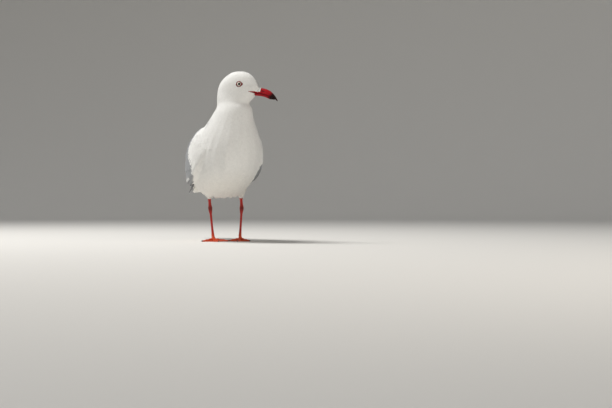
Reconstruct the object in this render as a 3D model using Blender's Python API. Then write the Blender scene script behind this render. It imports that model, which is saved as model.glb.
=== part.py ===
"""A silver gull, life size, standing on both feet with its head turned to its left.

The bird faces -Y and its left side is +X. Tables and distances are in millimetres and angles in degrees,
and each mesh is scaled to metres when it is made. Every sub-part is one closed solid, GAP from its
neighbours.
"""

import math

import bmesh
import bpy
import numpy as np
from mathutils import Matrix, Vector

MM = 0.001
GAP = 0.3  # clearance between neighbouring sub-parts
CUTTER_REACH = 400.0  # larger than the bird, for the planes that part it

# The plumage from belly to crown, as level slices. Each has its height, the centre and the turn of its
# forward direction towards the bird's left, and how far it reaches forward, back and to each side.
HEAD_TURN = 56.0
PLUMAGE = (
    # z, centre x, centre y, turn, front, back, side
    (68.6, 0.0, 27.0, 0.0, 0.0, 0.0, 0.0),
    (71.2, 0.0, 27.0, 0.0, 31.5, 32.0, 22.8),
    (77.0, 0.0, 27.0, 0.0, 49.5, 56.0, 32.3),
    (87.0, 0.0, 25.0, 0.0, 64.5, 73.0, 40.3),
    (98.0, 0.0, 21.0, 0.0, 76.5, 85.0, 46.2),
    (110.0, 0.0, 15.0, 0.0, 82.0, 93.5, 49.4),
    (123.0, 0.0, 9.0, 0.0, 83.0, 93.0, 50.4),
    (136.0, 0.0, 2.0, 0.0, 79.5, 86.0, 50.0),
    (150.0, 0.0, -8.0, 0.0, 70.0, 76.0, 47.7),
    (163.0, 0.0, -18.5, 0.0, 58.0, 62.0, 43.5),
    (175.0, 0.0, -28.0, 0.0, 46.5, 50.0, 38.0),
    (185.0, 0.0, -36.0, 0.0, 37.0, 40.5, 33.0),
    (194.0, 0.8, -41.0, 14.0, 31.0, 31.5, 29.2),
    (202.0, 1.8, -42.8, 32.0, 27.0, 26.8, 25.8),
    (208.5, 1.4, -42.8, 48.0, 23.2, 25.8, 22.4),
    (215.0, 0.9, -42.7, HEAD_TURN, 30.2, 25.5, 20.7),
    (221.0, 0.9, -42.7, HEAD_TURN, 35.2, 25.2, 19.9),
    (226.5, 1.0, -42.8, HEAD_TURN, 38.8, 24.7, 19.4),
    (232.0, 1.2, -43.0, HEAD_TURN, 40.6, 23.8, 18.9),
    (239.0, 2.0, -43.5, HEAD_TURN, 36.2, 21.6, 18.0),
    (246.5, 4.2, -44.9, HEAD_TURN, 28.6, 18.0, 15.6),
    (252.0, 6.6, -46.5, HEAD_TURN, 19.6, 13.8, 11.8),
    (255.3, 8.1, -47.6, HEAD_TURN, 11.0, 8.6, 7.0),
    (256.3, 8.7, -48.0, HEAD_TURN, 0.0, 0.0, 0.0),
)
PLUMAGE_SIZES = slice(4, 7)  # the columns that shrink to nothing at both ends
PLUMAGE_STEPS = 2
PLUMAGE_SIDES = 28

# The planes that part head from neck and neck from trunk: a point on each and its upward normal.
HEAD_CUT = ((0.0, -43.0, 211.0), (0.36, -0.24, 1.0))
NECK_CUT = ((0.0, -38.0, 184.0), (0.0, -0.45, 1.0))

# The head's own axes start at this point, above the neck. Forward there is the way the bill points.
HEAD_AXIS = (5.0, -45.5)
EYE_FORWARD, EYE_SIDE, EYE_HEIGHT = 9.2, 13.4, 235.6
EYE_RADIUS = 5.2

# Each mandible along the bill: how far forward, the heights of its cutting edge and ridge, its half width.
UPPER_BILL = (
    (18.0, 224.0, 231.5, 5.2),
    (26.0, 223.2, 231.5, 5.2),
    (34.0, 222.4, 231.2, 4.8),
    (41.0, 221.5, 230.2, 4.4),
    (48.0, 219.6, 228.2, 3.9),
    (54.0, 217.0, 225.0, 3.3),
    (58.8, 214.6, 220.2, 2.5),
    (62.2, 212.3, 215.8, 1.7),
    (64.2, 210.2, 211.7, 0.7),
)
LOWER_BILL = (
    (18.0, 223.6, 219.8, 5.0),
    (26.0, 222.8, 219.8, 4.8),
    (34.0, 222.0, 218.9, 4.4),
    (41.0, 221.1, 217.9, 3.9),
    (48.0, 219.2, 215.5, 3.5),
    (52.5, 217.2, 213.4, 3.0),
    (57.0, 215.0, 212.9, 2.1),
    (60.0, 213.6, 212.4, 0.8),
)
BILL_STEPS = 2
BILL_SIDES = 10  # points over the curved side of a mandible

# The left wing, folded along the body: upright slices from the wrist to the longest tertial. Each has its
# distance back, its upper and lower edge, how far it bows outwards from the line between the edges, and its
# thickness.
WING = (
    # y, upper x, upper z, lower x, lower z, bow, thickness
    (-42.0, 36.0, 153.0, 41.5, 138.0, 2.0, 5.0),
    (-35.0, 35.0, 163.0, 47.0, 127.0, 4.5, 12.0),
    (-18.0, 29.0, 175.5, 52.5, 112.0, 13.0, 18.0),
    (2.0, 19.0, 179.0, 53.5, 101.5, 20.5, 22.0),
    (24.0, 11.0, 175.5, 53.0, 94.5, 25.5, 24.0),
    (48.0, 6.0, 165.5, 51.0, 90.0, 26.0, 22.0),
    (72.0, 3.5, 151.5, 43.0, 88.0, 24.5, 16.0),
    (96.0, 2.0, 137.0, 32.5, 87.5, 17.5, 8.0),
    (118.0, 1.5, 122.5, 22.5, 91.5, 10.5, 4.5),
    (136.0, 2.0, 110.5, 15.0, 95.5, 5.0, 3.0),
    (146.0, 4.0, 103.5, 9.5, 99.0, 1.5, 2.0),
)
# The black primaries of the same wing, from under the tertials to the wing tip.
PRIMARIES = (
    (100.0, 6.0, 112.0, 26.0, 91.5, 5.0, 3.2),
    (118.0, 4.0, 107.5, 26.0, 88.0, 5.5, 4.0),
    (142.0, 2.5, 99.5, 25.0, 84.5, 4.5, 3.6),
    (166.0, 2.4, 92.0, 22.0, 80.0, 3.2, 3.0),
    (188.0, 4.0, 86.0, 17.5, 77.4, 2.0, 2.2),
    (204.0, 6.5, 82.0, 13.0, 76.8, 1.0, 1.6),
    (212.0, 8.4, 80.0, 10.4, 78.2, 0.3, 1.2),
)
WING_STEPS = 2
WING_SIDES = 7  # steps along each face of a slice
PRIMARIES_SIDES = 4
WING_LEAN = 0.72  # below 1, a slice bows most nearer its upper edge
WING_MIDLINE = 0.6  # how near the two wings come to the bird's middle

# The tail with its coverts, as upright slices: distance back, height, half width, half thickness.
TAIL = (
    (74.0, 107.0, 26.0, 20.0),
    (94.0, 101.5, 23.0, 16.0),
    (112.0, 95.0, 20.0, 10.5),
    (130.0, 88.7, 18.2, 5.6),
    (148.0, 83.3, 17.2, 2.4),
    (162.0, 79.6, 16.6, 1.4),
    (170.5, 77.4, 15.2, 0.9),
    (174.0, 76.6, 11.0, 0.6),
)
TAIL_STEPS = 2
TAIL_SIDES = 18
TAIL_SQUARENESS = 2.6

# The legs. Each foot's joint with its tarsus, the ankle above it, the place where the bare shank enters
# plumage, and the hip.
LEGS = {
    "left": {
        "foot": (29.6, 28.5, 7.0),
        "ankle": (35.3, 40.0, 51.0),
        "top": (31.8, 30.7, 68.5),
        "hip": (26.0, 14.0, 96.0),
    },
    "right": {
        "foot": (-14.2, 26.0, 7.0),
        "ankle": (-16.1, 37.5, 51.0),
        "top": (-19.4, 29.5, 67.0),
        "hip": (-22.0, 12.0, 96.0),
    },
}
FOOT_TURN = {"left": -22.0, "right": 0.0}
FOOT_SPREAD = {"left": 33.0, "right": 44.0}
# Down a leg: the share of the way from one point to the next, half width and half depth.
TARSUS = (
    (0.0, 3.3, 3.3),
    (0.08, 3.1, 3.2),
    (0.2, 2.0, 2.4),
    (0.4, 1.75, 2.15),
    (0.7, 1.75, 2.2),
    (0.9, 2.2, 2.5),
    (1.0, 2.7, 2.7),
)
SHANK = ((0.0, 2.9, 3.1), (0.35, 2.2, 2.5), (0.7, 2.5, 2.8), (0.9, 3.4, 3.6), (1.0, 3.8, 3.9))
THIGH = ((0.0, 13.5, 21.0), (0.45, 9.5, 15.0), (0.8, 6.0, 8.0), (1.0, 4.4, 4.8))
LIMB_STEPS = 2
LIMB_SIDES = 8

# Toes: their place in the foot's spread, and how far behind and ahead of the foot's joint they reach.
TOES = {"inner": (-1.0, 1.0, 27.5), "middle": (0.0, 2.6, 34.5), "outer": (1.0, 1.7, 32.5)}
HIND_TOE = (172.0, 0.5, 7.5)  # its direction off the middle toe in degrees, then the same two
FOOT_JOINT = (4.3, 8.0)  # the joint's radius and its height above the floor
TOE_HEIGHT, TOE_TIP_HEIGHT = 5.6, 2.3
TOE_WIDTH, TOE_TIP_WIDTH = 2.3, 1.25
TOE_KNUCKLES = 3
TOE_SIDES = 8
WEB_THICKNESS = 0.9
WEB_REACH = 0.93  # how far along its toes the web is held
WEB_HOLLOW = 0.80  # how near the foot its front edge dips, as a share of that
CLAW_LENGTH, CLAW_RADIUS = 4.6, 0.95
FLOOR_BOX = 150.0

COLOURS = {
    # base colour, roughness
    "white_plumage": ((0.86, 0.86, 0.84), 0.85),
    "grey_plumage": ((0.45, 0.48, 0.52), 0.8),
    "black_plumage": ((0.02, 0.02, 0.024), 0.6),
    "red_bill": ((0.46, 0.025, 0.02), 0.35),
    "red_leg": ((0.62, 0.08, 0.04), 0.5),
    "eye": ((0.85, 0.84, 0.78), 0.08),
    "claw": ((0.02, 0.015, 0.015), 0.4),
}


def clear_scene():
    for thing in list(bpy.data.objects):
        bpy.data.objects.remove(thing)


def new_collection(name):
    made = bpy.data.collections.new(name)
    bpy.context.scene.collection.children.link(made)
    return made


def make_materials():
    made = {}
    for name, (colour, roughness) in COLOURS.items():
        material = bpy.data.materials.new(name)
        material.use_nodes = True
        shader = material.node_tree.nodes["Principled BSDF"]
        shader.inputs["Base Color"].default_value = (*colour, 1.0)
        shader.inputs["Roughness"].default_value = roughness
        shader.inputs["Metallic"].default_value = 0.0
        made[name] = material
    return made


clear_scene()
BIRD = new_collection("silver_gull")
CUTTERS = new_collection("cutters")
MATERIALS = make_materials()


# Smooth curves and lofts


def smooth(rows, steps, sizes=None):
    """Catmull-Rom curve through the rows, with this many steps to a span. Columns in sizes start and end at a
    round pole, so past each end they run on as their own mirror."""
    rows = np.array(rows, float)
    before, after = 2 * rows[0] - rows[1], 2 * rows[-1] - rows[-2]
    if sizes is not None:
        before, after = rows[1].copy(), rows[-2].copy()
        before[sizes] *= -1
        after[sizes] *= -1
    padded = np.vstack([before, rows, after])
    made = []
    for i in range(1, len(padded) - 2):
        a, b, c, d = padded[i - 1 : i + 3]
        for step in range(steps):
            t = step / steps
            bend, twist = 2 * a - 5 * b + 4 * c - d, 3 * b - a - 3 * c + d
            made.append(0.5 * (2 * b + (c - a) * t + bend * t**2 + twist * t**3))
    made.append(rows[-1])
    return made


def loft(rings):
    """A closed mesh through rings of points. A ring of one point is a pole. Its sides are split along their
    shorter diagonals, so that rings with mirror symmetry give a mesh with mirror symmetry."""
    bm = bmesh.new()
    loops = [[bm.verts.new(Vector(point) * MM) for point in ring] for ring in rings]
    for first, second in zip(loops, loops[1:]):
        count = max(len(first), len(second))
        for i in range(count):
            corners = [first[i % len(first)], first[(i + 1) % len(first)]]
            corners += [second[(i + 1) % len(second)], second[i % len(second)]]
            bm.faces.new(list(dict.fromkeys(corners)))
    bmesh.ops.triangulate(bm, faces=bm.faces, quad_method="SHORT_EDGE")
    for end in (loops[0], loops[-1]):
        if len(end) > 1:
            bm.faces.new(end)
    bmesh.ops.recalc_face_normals(bm, faces=bm.faces)
    return bm


def finish_mesh(name, bm):
    mesh = bpy.data.meshes.new(name)
    bm.to_mesh(mesh)
    bm.free()
    mesh.shade_smooth()
    mesh.set_sharp_from_angle(angle=math.radians(50))
    return mesh


def add_part(name, bm, material):
    part = bpy.data.objects.new(name, finish_mesh(name, bm))
    part.data.materials.append(MATERIALS[material])
    BIRD.objects.link(part)
    return part


def add_cutter(name, bm):
    cutter = bpy.data.objects.new(name, finish_mesh(name, bm))
    cutter.hide_render = True
    cutter.display_type = "WIRE"
    CUTTERS.objects.link(cutter)
    return cutter


def boolean(part, cutter, operation):
    modifier = part.modifiers.new(operation.lower(), "BOOLEAN")
    modifier.object = cutter
    modifier.operation = operation
    modifier.solver = "EXACT"


def evaluated_bmesh(part):
    bpy.context.view_layer.update()
    graph = bpy.context.evaluated_depsgraph_get()
    mesh = bpy.data.meshes.new_from_object(part.evaluated_get(graph))
    bm = bmesh.new()
    bm.from_mesh(mesh)
    bpy.data.meshes.remove(mesh)
    return bm


def carve(part, neighbour):
    """Takes the neighbour's shape, GAP larger all round, out of the part."""
    bm = evaluated_bmesh(neighbour)
    bm.normal_update()
    moves = [vertex.normal * GAP * MM for vertex in bm.verts]
    for vertex, move in zip(bm.verts, moves):
        vertex.co += move
    boolean(part, add_cutter(f"{part.name}_clear_of_{neighbour.name}", bm), "DIFFERENCE")


def keep_side(bm, point, normal):
    """Cuts a closed mesh by a plane and keeps what the normal points to, with the cut closed."""
    geometry = list(bm.verts) + list(bm.edges) + list(bm.faces)
    cut = bmesh.ops.bisect_plane(
        bm, geom=geometry, plane_co=Vector(point) * MM, plane_no=Vector(normal), clear_inner=True
    )
    edges = [item for item in cut["geom_cut"] if isinstance(item, bmesh.types.BMEdge)]
    bmesh.ops.holes_fill(bm, edges=edges, sides=0)
    return bm


def along(point, normal, distance):
    return Vector(point) + Vector(normal).normalized() * distance


# Head, neck and trunk: one body of plumage, parted by two planes


def plumage_ring(row):
    z, x, y, turn, front, back, side = row
    if side <= 0:
        return [(x, y, z)]
    ring = []
    for i in range(PLUMAGE_SIDES):
        angle = 2 * math.pi * i / PLUMAGE_SIDES
        ahead, across = math.cos(angle - math.radians(turn)), math.sin(angle - math.radians(turn))
        reach = 1 / math.hypot(ahead / (front if ahead > 0 else back), across / side)
        ring.append((x + reach * math.sin(angle), y - reach * math.cos(angle), z))
    return ring


def plumage():
    return loft([plumage_ring(row) for row in smooth(PLUMAGE, PLUMAGE_STEPS, PLUMAGE_SIZES)])


def head_point(forward, side, height):
    """A point in the head's own axes, with side positive to the bird's left."""
    turn = math.radians(HEAD_TURN)
    x = HEAD_AXIS[0] + forward * math.sin(turn) + side * math.cos(turn)
    y = HEAD_AXIS[1] - forward * math.cos(turn) + side * math.sin(turn)
    return (x, y, height)


def add_body():
    head_point_on_cut, head_normal = HEAD_CUT
    neck_point, neck_normal = NECK_CUT
    head = keep_side(plumage(), along(head_point_on_cut, head_normal, GAP / 2), head_normal)
    down = tuple(-value for value in head_normal)
    neck = keep_side(plumage(), along(head_point_on_cut, down, GAP / 2), down)
    neck = keep_side(neck, along(neck_point, neck_normal, GAP / 2), neck_normal)
    down = tuple(-value for value in neck_normal)
    trunk = keep_side(plumage(), along(neck_point, down, GAP / 2), down)
    return {
        "head": add_part("head", head, "white_plumage"),
        "neck": add_part("neck", neck, "white_plumage"),
        "trunk": add_part("trunk", trunk, "white_plumage"),
    }


# Bill and eyes


def mandible_ring(row):
    """A dome over the cutting edge: a ridge in the middle, flat along the edge."""
    forward, edge, ridge, half_width = row
    ring = []
    for i in range(BILL_SIDES + 1):
        angle = math.pi * i / BILL_SIDES
        height = edge + (ridge - edge) * math.sin(angle) ** 0.9
        ring.append(head_point(forward, half_width * math.cos(angle), height))
    return ring


def add_bill(head):
    for name, rows in (("bill_upper", UPPER_BILL), ("bill_lower", LOWER_BILL)):
        rings = [mandible_ring(row) for row in smooth(rows, BILL_STEPS)]
        carve(add_part(name, loft(rings), "red_bill"), head)


def add_eyes(head):
    for name, side in (("left", 1), ("right", -1)):
        place = Matrix.Translation(Vector(head_point(EYE_FORWARD, side * EYE_SIDE, EYE_HEIGHT)) * MM)
        eye, socket = bmesh.new(), bmesh.new()
        bmesh.ops.create_uvsphere(eye, u_segments=14, v_segments=8, radius=EYE_RADIUS * MM, matrix=place)
        socket_radius = (EYE_RADIUS + GAP) * MM
        bmesh.ops.create_uvsphere(socket, u_segments=14, v_segments=8, radius=socket_radius, matrix=place)
        add_part(f"eye_{name}", eye, "eye")
        boolean(head, add_cutter(f"eye_socket_{name}", socket), "DIFFERENCE")


# Wings and tail


def wing_ring(row, sides):
    """A bowed slice: its outer face from the upper edge to the lower, then its inner face back."""
    y, upper_x, upper_z, lower_x, lower_z, bow, thickness = row
    upper, lower = Vector((upper_x, upper_z)), Vector((lower_x, lower_z))
    out = Vector((upper_z - lower_z, lower_x - upper_x)).normalized()
    outer, inner = [], []
    for i in range(sides + 1):
        share = i / sides
        rise = 4 * share**WING_LEAN * (1 - share**WING_LEAN)
        point = upper.lerp(lower, share) + out * bow * rise
        outer.append(point)
        inner.append(point - out * thickness * (0.35 + 0.65 * math.sqrt(rise)))
    return [(max(point.x, WING_MIDLINE), y, point.y) for point in outer + inner[::-1]]


def add_mirrored(part, name):
    """The right-hand twin of a left-hand part that is already carved."""
    bm = evaluated_bmesh(part)
    bmesh.ops.scale(bm, verts=bm.verts, vec=(-1, 1, 1))
    bmesh.ops.reverse_faces(bm, faces=bm.faces)
    twin = bpy.data.objects.new(name, finish_mesh(name, bm))
    twin.data.materials.append(part.data.materials[0])
    BIRD.objects.link(twin)
    return twin


def add_wings(trunk, tail):
    rings = [wing_ring(row, WING_SIDES) for row in smooth(WING, WING_STEPS)]
    wing = add_part("wing_left", loft(rings), "grey_plumage")
    rings = [wing_ring(row, PRIMARIES_SIDES) for row in smooth(PRIMARIES, WING_STEPS)]
    primaries = add_part("primaries_left", loft(rings), "black_plumage")
    carve(primaries, trunk)
    carve(primaries, tail)
    carve(wing, trunk)
    carve(wing, tail)
    carve(wing, primaries)
    add_mirrored(wing, "wing_right")
    add_mirrored(primaries, "primaries_right")


def tail_ring(row):
    y, z, half_width, half_thickness = row
    ring = []
    for i in range(TAIL_SIDES):
        angle = 2 * math.pi * i / TAIL_SIDES
        across, up = math.cos(angle), math.sin(angle)
        x = half_width * math.copysign(abs(across) ** (2 / TAIL_SQUARENESS), across)
        rise = half_thickness * math.copysign(abs(up) ** (2 / TAIL_SQUARENESS), up)
        ring.append((x, y, z + rise))
    return ring


def add_tail(trunk):
    tail = add_part("tail", loft([tail_ring(row) for row in smooth(TAIL, TAIL_STEPS)]), "white_plumage")
    carve(tail, trunk)
    return tail


# Legs and feet


def limb(start, end, rows):
    """A tapering round length from start to end, wider or narrower than it is deep."""
    start, end = Vector(start), Vector(end)
    way = (end - start).normalized()
    across = Vector((0, 1, 0)).cross(way).normalized()
    deep = way.cross(across)
    rings = []
    for share, half_width, half_depth in smooth(rows, LIMB_STEPS):
        centre = start.lerp(end, share)
        ring = []
        for i in range(LIMB_SIDES):
            angle = 2 * math.pi * i / LIMB_SIDES
            ring.append(centre + across * half_width * math.cos(angle) + deep * half_depth * math.sin(angle))
        rings.append(ring)
    return loft(rings)


def foot_direction(side, degrees):
    """A level direction: -Y turned by the foot's own turn, then by these degrees away from the bird."""
    outwards = 1 if side == "left" else -1
    angle = math.radians(FOOT_TURN[side] + outwards * degrees)
    return Vector((math.sin(angle), -math.cos(angle), 0))


def toe_mesh(base, way, behind, length):
    """A toe from behind the foot's joint to its claw, swelling at each knuckle. Its lower half is cut off
    later."""
    across = way.cross(Vector((0, 0, 1)))
    rings = []
    steps = 3 * TOE_KNUCKLES
    for step in range(steps + 1):
        share = step / steps
        swell = 1 + 0.10 * math.cos(2 * math.pi * TOE_KNUCKLES * share)
        half_width = (TOE_WIDTH + (TOE_TIP_WIDTH - TOE_WIDTH) * share) * swell
        top = (TOE_HEIGHT + (TOE_TIP_HEIGHT - TOE_HEIGHT) * share) * swell
        centre = base + way * (share * (behind + length) - behind)
        ring = []
        for i in range(TOE_SIDES):
            angle = 2 * math.pi * (i + 0.5) / TOE_SIDES
            rise = Vector((0, 0, top * math.sin(angle)))
            ring.append(centre + across * half_width * math.cos(angle) + rise)
        rings.append(ring)
    return loft(rings)


def web_mesh(base, ways, lengths):
    """The web across the three toes: a plate whose front edge dips between them."""
    rim = []
    for (way, length), (next_way, next_length) in zip(zip(ways, lengths), zip(ways[1:], lengths[1:])):
        for step in range(6):
            share = step / 6
            dip = 1 - (1 - WEB_HOLLOW) * math.sin(math.pi * share)
            direction = way.lerp(next_way, share).normalized()
            rim.append(base + direction * WEB_REACH * dip * (length + (next_length - length) * share))
    rim.append(base + ways[-1] * WEB_REACH * lengths[-1])
    outline = [base + ways[1]] + rim
    low = [point - Vector((0, 0, WEB_THICKNESS)) for point in outline]
    high = [point + Vector((0, 0, WEB_THICKNESS)) for point in outline]
    return loft([low, high])


def claw_mesh(tip, way):
    """A claw that curves down from the end of its toe."""
    across = way.cross(Vector((0, 0, 1)))
    rings = []
    steps = 4
    for step in range(steps):
        share = step / steps
        centre = tip + way * CLAW_LENGTH * share + Vector((0, 0, 0.5 - 0.6 * share**2))
        radius = CLAW_RADIUS * (1 - 0.8 * share)
        ring = []
        for i in range(6):
            angle = 2 * math.pi * i / 6
            ring.append(centre + (across * math.cos(angle) + Vector((0, 0, math.sin(angle)))) * radius)
        rings.append(ring)
    rings.append([tip + way * CLAW_LENGTH])
    return loft(rings)


def floor_box(centre):
    """All that lies below the floor near a foot. Taking it away leaves flat soles."""
    box = bmesh.new()
    bmesh.ops.create_cube(box, size=FLOOR_BOX * MM)
    bmesh.ops.translate(box, verts=box.verts, vec=(centre - Vector((0, 0, FLOOR_BOX / 2))) * MM)
    return box


def add_foot(side):
    joint = Vector(LEGS[side]["foot"])
    base = Vector((joint.x, joint.y - 2.0, 0))
    ways = [foot_direction(side, place * FOOT_SPREAD[side]) for place, _, _ in TOES.values()]
    lengths = [length for _, _, length in TOES.values()]
    radius, height = FOOT_JOINT
    knob = bmesh.new()
    bmesh.ops.create_uvsphere(knob, u_segments=10, v_segments=6, radius=radius * MM)
    bmesh.ops.scale(knob, verts=knob.verts, vec=(1, 1, height / radius))
    bmesh.ops.rotate(knob, verts=knob.verts, matrix=Matrix.Rotation(0.1, 3, "Z"))
    bmesh.ops.translate(knob, verts=knob.verts, vec=base * MM)
    foot = add_part(f"foot_{side}", knob, "red_leg")
    hind_turn, behind, length = HIND_TOE
    pieces = {"hind": toe_mesh(base, foot_direction(side, hind_turn), behind, length)}
    for (name, (_, behind, length)), way in zip(TOES.items(), ways):
        pieces[name] = toe_mesh(base, way, behind, length)
    pieces["web"] = web_mesh(base, ways, lengths)
    for name, mesh in pieces.items():
        boolean(foot, add_cutter(f"foot_{side}_{name}", mesh), "UNION")
    boolean(foot, add_cutter(f"floor_{side}", floor_box(base)), "DIFFERENCE")
    for name, way, length in zip(TOES, ways, lengths):
        tip = base + way * (length + GAP) + Vector((0, 0, CLAW_RADIUS))
        add_part(f"claw_{name}_{side}", claw_mesh(tip, way), "claw")
    return foot


def add_legs(trunk):
    for side, points in LEGS.items():
        foot = add_foot(side)
        thigh = add_part(f"thigh_{side}", limb(points["hip"], points["top"], THIGH), "white_plumage")
        shank = add_part(f"shank_{side}", limb(points["top"], points["ankle"], SHANK), "red_leg")
        tarsus = add_part(f"tarsus_{side}", limb(points["ankle"], points["foot"], TARSUS), "red_leg")
        carve(thigh, trunk)
        carve(shank, thigh)
        carve(shank, trunk)
        carve(tarsus, shank)
        carve(tarsus, foot)


def centre_on_floor():
    """Moves parts and cutters alike, so that the middle of the bird's box is over the origin."""
    places = []
    for part in BIRD.objects:
        bm = evaluated_bmesh(part)
        places += [vertex.co.copy() for vertex in bm.verts]
        bm.free()
    low = [min(place[axis] for place in places) for axis in (0, 1)]
    high = [max(place[axis] for place in places) for axis in (0, 1)]
    for thing in list(BIRD.objects) + list(CUTTERS.objects):
        thing.location = (-(low[0] + high[0]) / 2, -(low[1] + high[1]) / 2, 0)


def main():
    body = add_body()
    add_bill(body["head"])
    add_eyes(body["head"])
    tail = add_tail(body["trunk"])
    add_wings(body["trunk"], tail)
    add_legs(body["trunk"])
    centre_on_floor()


main()
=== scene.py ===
"""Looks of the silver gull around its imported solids: a skin under coats of soft tufts, firm feathers on wings
and tail, and the bare eyes, bill, legs and claws.

Tables and distances are in millimetres in part.py's own frame, where the body is symmetric about x = 0.
The bird faces -Y and its left side is +X. Meshes are scaled to metres and moved to the row frame when made.
"""

import math

import bmesh
import bpy
import numpy as np
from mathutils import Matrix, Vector
from mathutils.bvhtree import BVHTree


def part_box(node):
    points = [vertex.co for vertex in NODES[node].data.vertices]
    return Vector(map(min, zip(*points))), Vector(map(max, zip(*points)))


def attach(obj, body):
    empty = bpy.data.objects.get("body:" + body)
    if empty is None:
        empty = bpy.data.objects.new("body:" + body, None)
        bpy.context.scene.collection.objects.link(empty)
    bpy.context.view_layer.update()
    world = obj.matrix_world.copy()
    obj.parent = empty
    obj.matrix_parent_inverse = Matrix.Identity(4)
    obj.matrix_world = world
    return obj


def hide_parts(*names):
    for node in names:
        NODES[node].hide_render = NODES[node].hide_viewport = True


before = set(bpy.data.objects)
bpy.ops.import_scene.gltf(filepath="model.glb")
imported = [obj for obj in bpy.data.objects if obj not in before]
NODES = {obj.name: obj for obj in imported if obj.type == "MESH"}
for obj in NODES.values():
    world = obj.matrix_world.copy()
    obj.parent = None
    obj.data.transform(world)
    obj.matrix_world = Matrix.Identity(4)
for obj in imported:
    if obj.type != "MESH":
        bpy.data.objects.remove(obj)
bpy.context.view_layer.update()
MM = 0.001


def node_box(name):
    low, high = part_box(name)
    return np.array(low) / MM, np.array(high) / MM


# Where the body's frame has its origin in the row frame: on the trunk's middle plane, and on the floor.
ORIGIN_Y = -65.01
TRUNK_LOW, TRUNK_HIGH = node_box("trunk")
ORIGIN = np.array([(TRUNK_LOW[0] + TRUNK_HIGH[0]) / 2, ORIGIN_Y, 0.0])
SIDES = {"left": 1.0, "right": -1.0}


# Camera


def add_camera():
    data = bpy.data.cameras.new("camera")
    data.lens = 70.0
    data.sensor_width = 36.0
    data.clip_start, data.clip_end = 0.05, 60.0
    camera = bpy.data.objects.new("camera", data)
    camera.location = (-0.443995, -1.84101, 0.0577)
    camera.rotation_euler = (math.pi / 2, 0.0, math.radians(-17.85))
    bpy.context.scene.collection.objects.link(camera)
    bpy.context.scene.camera = camera


add_camera()


# Surfaces and meshes


def unit(vectors):
    return vectors / np.maximum(np.linalg.norm(vectors, axis=-1, keepdims=True), 1e-9)


def ramp(values, start, end):
    """A smooth step from 0 at the start to 1 at the end."""
    share = np.clip((values - start) / (end - start), 0, 1)
    return share * share * (3 - 2 * share)


def bell(values, width, power=2):
    """1 where the values are 0, and falling away on both sides. A higher power has a flatter top."""
    return np.exp(-np.abs(values / width) ** power)


def blend(first, second, share):
    return first * (1 - share) + second * share


def tangent(ways, normals):
    """The directions, turned to lie along the surface."""
    return unit(ways - normals * (ways * normals).sum(-1, keepdims=True))


def nearest(tree, places):
    """For each place, the number of the nearest triangle in the search tree."""
    return np.fromiter((tree.find_nearest(place)[2] for place in places.tolist()), int, len(places))


class Surface:
    """A triangle mesh, in millimetres, that points are laid on."""

    def __init__(self, points, triangles):
        self.points, self.triangles = points, triangles
        self.tree = BVHTree.FromPolygons(points.tolist(), triangles.tolist())
        a, b, c = (points[triangles[:, k]] for k in range(3))
        faces = np.cross(b - a, c - a)
        normals = np.zeros_like(points)
        for k in range(3):
            np.add.at(normals, triangles[:, k], faces)
        self.normals = unit(normals)
        self.areas = np.linalg.norm(faces, axis=1) / 2

    def locate(self, places):
        """For each place the nearest triangle, and the shares of its corners in the nearest point."""
        index = nearest(self.tree, places)
        a, b, c = (self.points[self.triangles[index, k]] for k in range(3))
        ab, ac, ap = b - a, c - a, places - a
        d00, d01, d11 = (ab * ab).sum(1), (ab * ac).sum(1), (ac * ac).sum(1)
        d20, d21 = (ap * ab).sum(1), (ap * ac).sum(1)
        scale = np.maximum(d00 * d11 - d01**2, 1e-12)
        v, w = (d11 * d20 - d01 * d21) / scale, (d00 * d21 - d01 * d20) / scale
        shares = np.clip(np.stack([1 - v - w, v, w], 1), 0, None)
        return index, shares / shares.sum(1, keepdims=True)

    def lay(self, places):
        """The nearest points on the surface, and its smooth normals there."""
        index, shares = self.locate(places)
        corners = self.triangles[index]
        points = (self.points[corners] * shares[..., None]).sum(1)
        return points, unit((self.normals[corners] * shares[..., None]).sum(1))


def mesh_arrays(mesh):
    """A mesh's points and triangles, in millimetres in the body's frame."""
    mesh.calc_loop_triangles()
    points = np.zeros(len(mesh.vertices) * 3)
    mesh.vertices.foreach_get("co", points)
    triangles = np.zeros(len(mesh.loop_triangles) * 3, int)
    mesh.loop_triangles.foreach_get("vertices", triangles)
    return points.reshape(-1, 3) / MM - ORIGIN, triangles.reshape(-1, 3)


def add_to_scene(name, data):
    thing = bpy.data.objects.new(name, data)
    bpy.context.scene.collection.objects.link(thing)
    return thing


def fused(names, voxel, rounds, grow=0.25):
    """One closed surface round the named nodes: each is grown a little so that no gap stays between them."""
    whole = bmesh.new()
    for name in names:
        bm = bmesh.new()
        bm.from_mesh(NODES[name].data)
        bmesh.ops.remove_doubles(bm, verts=bm.verts, dist=1e-6)
        bm.normal_update()
        moves = [vertex.normal * grow * MM for vertex in bm.verts]
        for vertex, move in zip(bm.verts, moves):
            vertex.co += move
        piece = bpy.data.meshes.new("piece")
        bm.to_mesh(piece)
        bm.free()
        whole.from_mesh(piece)
        bpy.data.meshes.remove(piece)
    mesh = bpy.data.meshes.new("fused")
    whole.to_mesh(mesh)
    whole.free()
    thing = add_to_scene("fused", mesh)
    remesh = thing.modifiers.new("remesh", "REMESH")
    remesh.mode = "VOXEL"
    remesh.voxel_size = voxel * MM
    soften = thing.modifiers.new("soften", "SMOOTH")
    soften.factor, soften.iterations = 0.5, rounds
    bpy.context.view_layer.update()
    graph = bpy.context.evaluated_depsgraph_get()
    result = bpy.data.meshes.new_from_object(thing.evaluated_get(graph))
    points, triangles = mesh_arrays(result)
    bpy.data.objects.remove(thing)
    bpy.data.meshes.remove(mesh)
    bpy.data.meshes.remove(result)
    surface = Surface(points, triangles)
    return Surface(points - surface.normals * grow, triangles)


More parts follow.
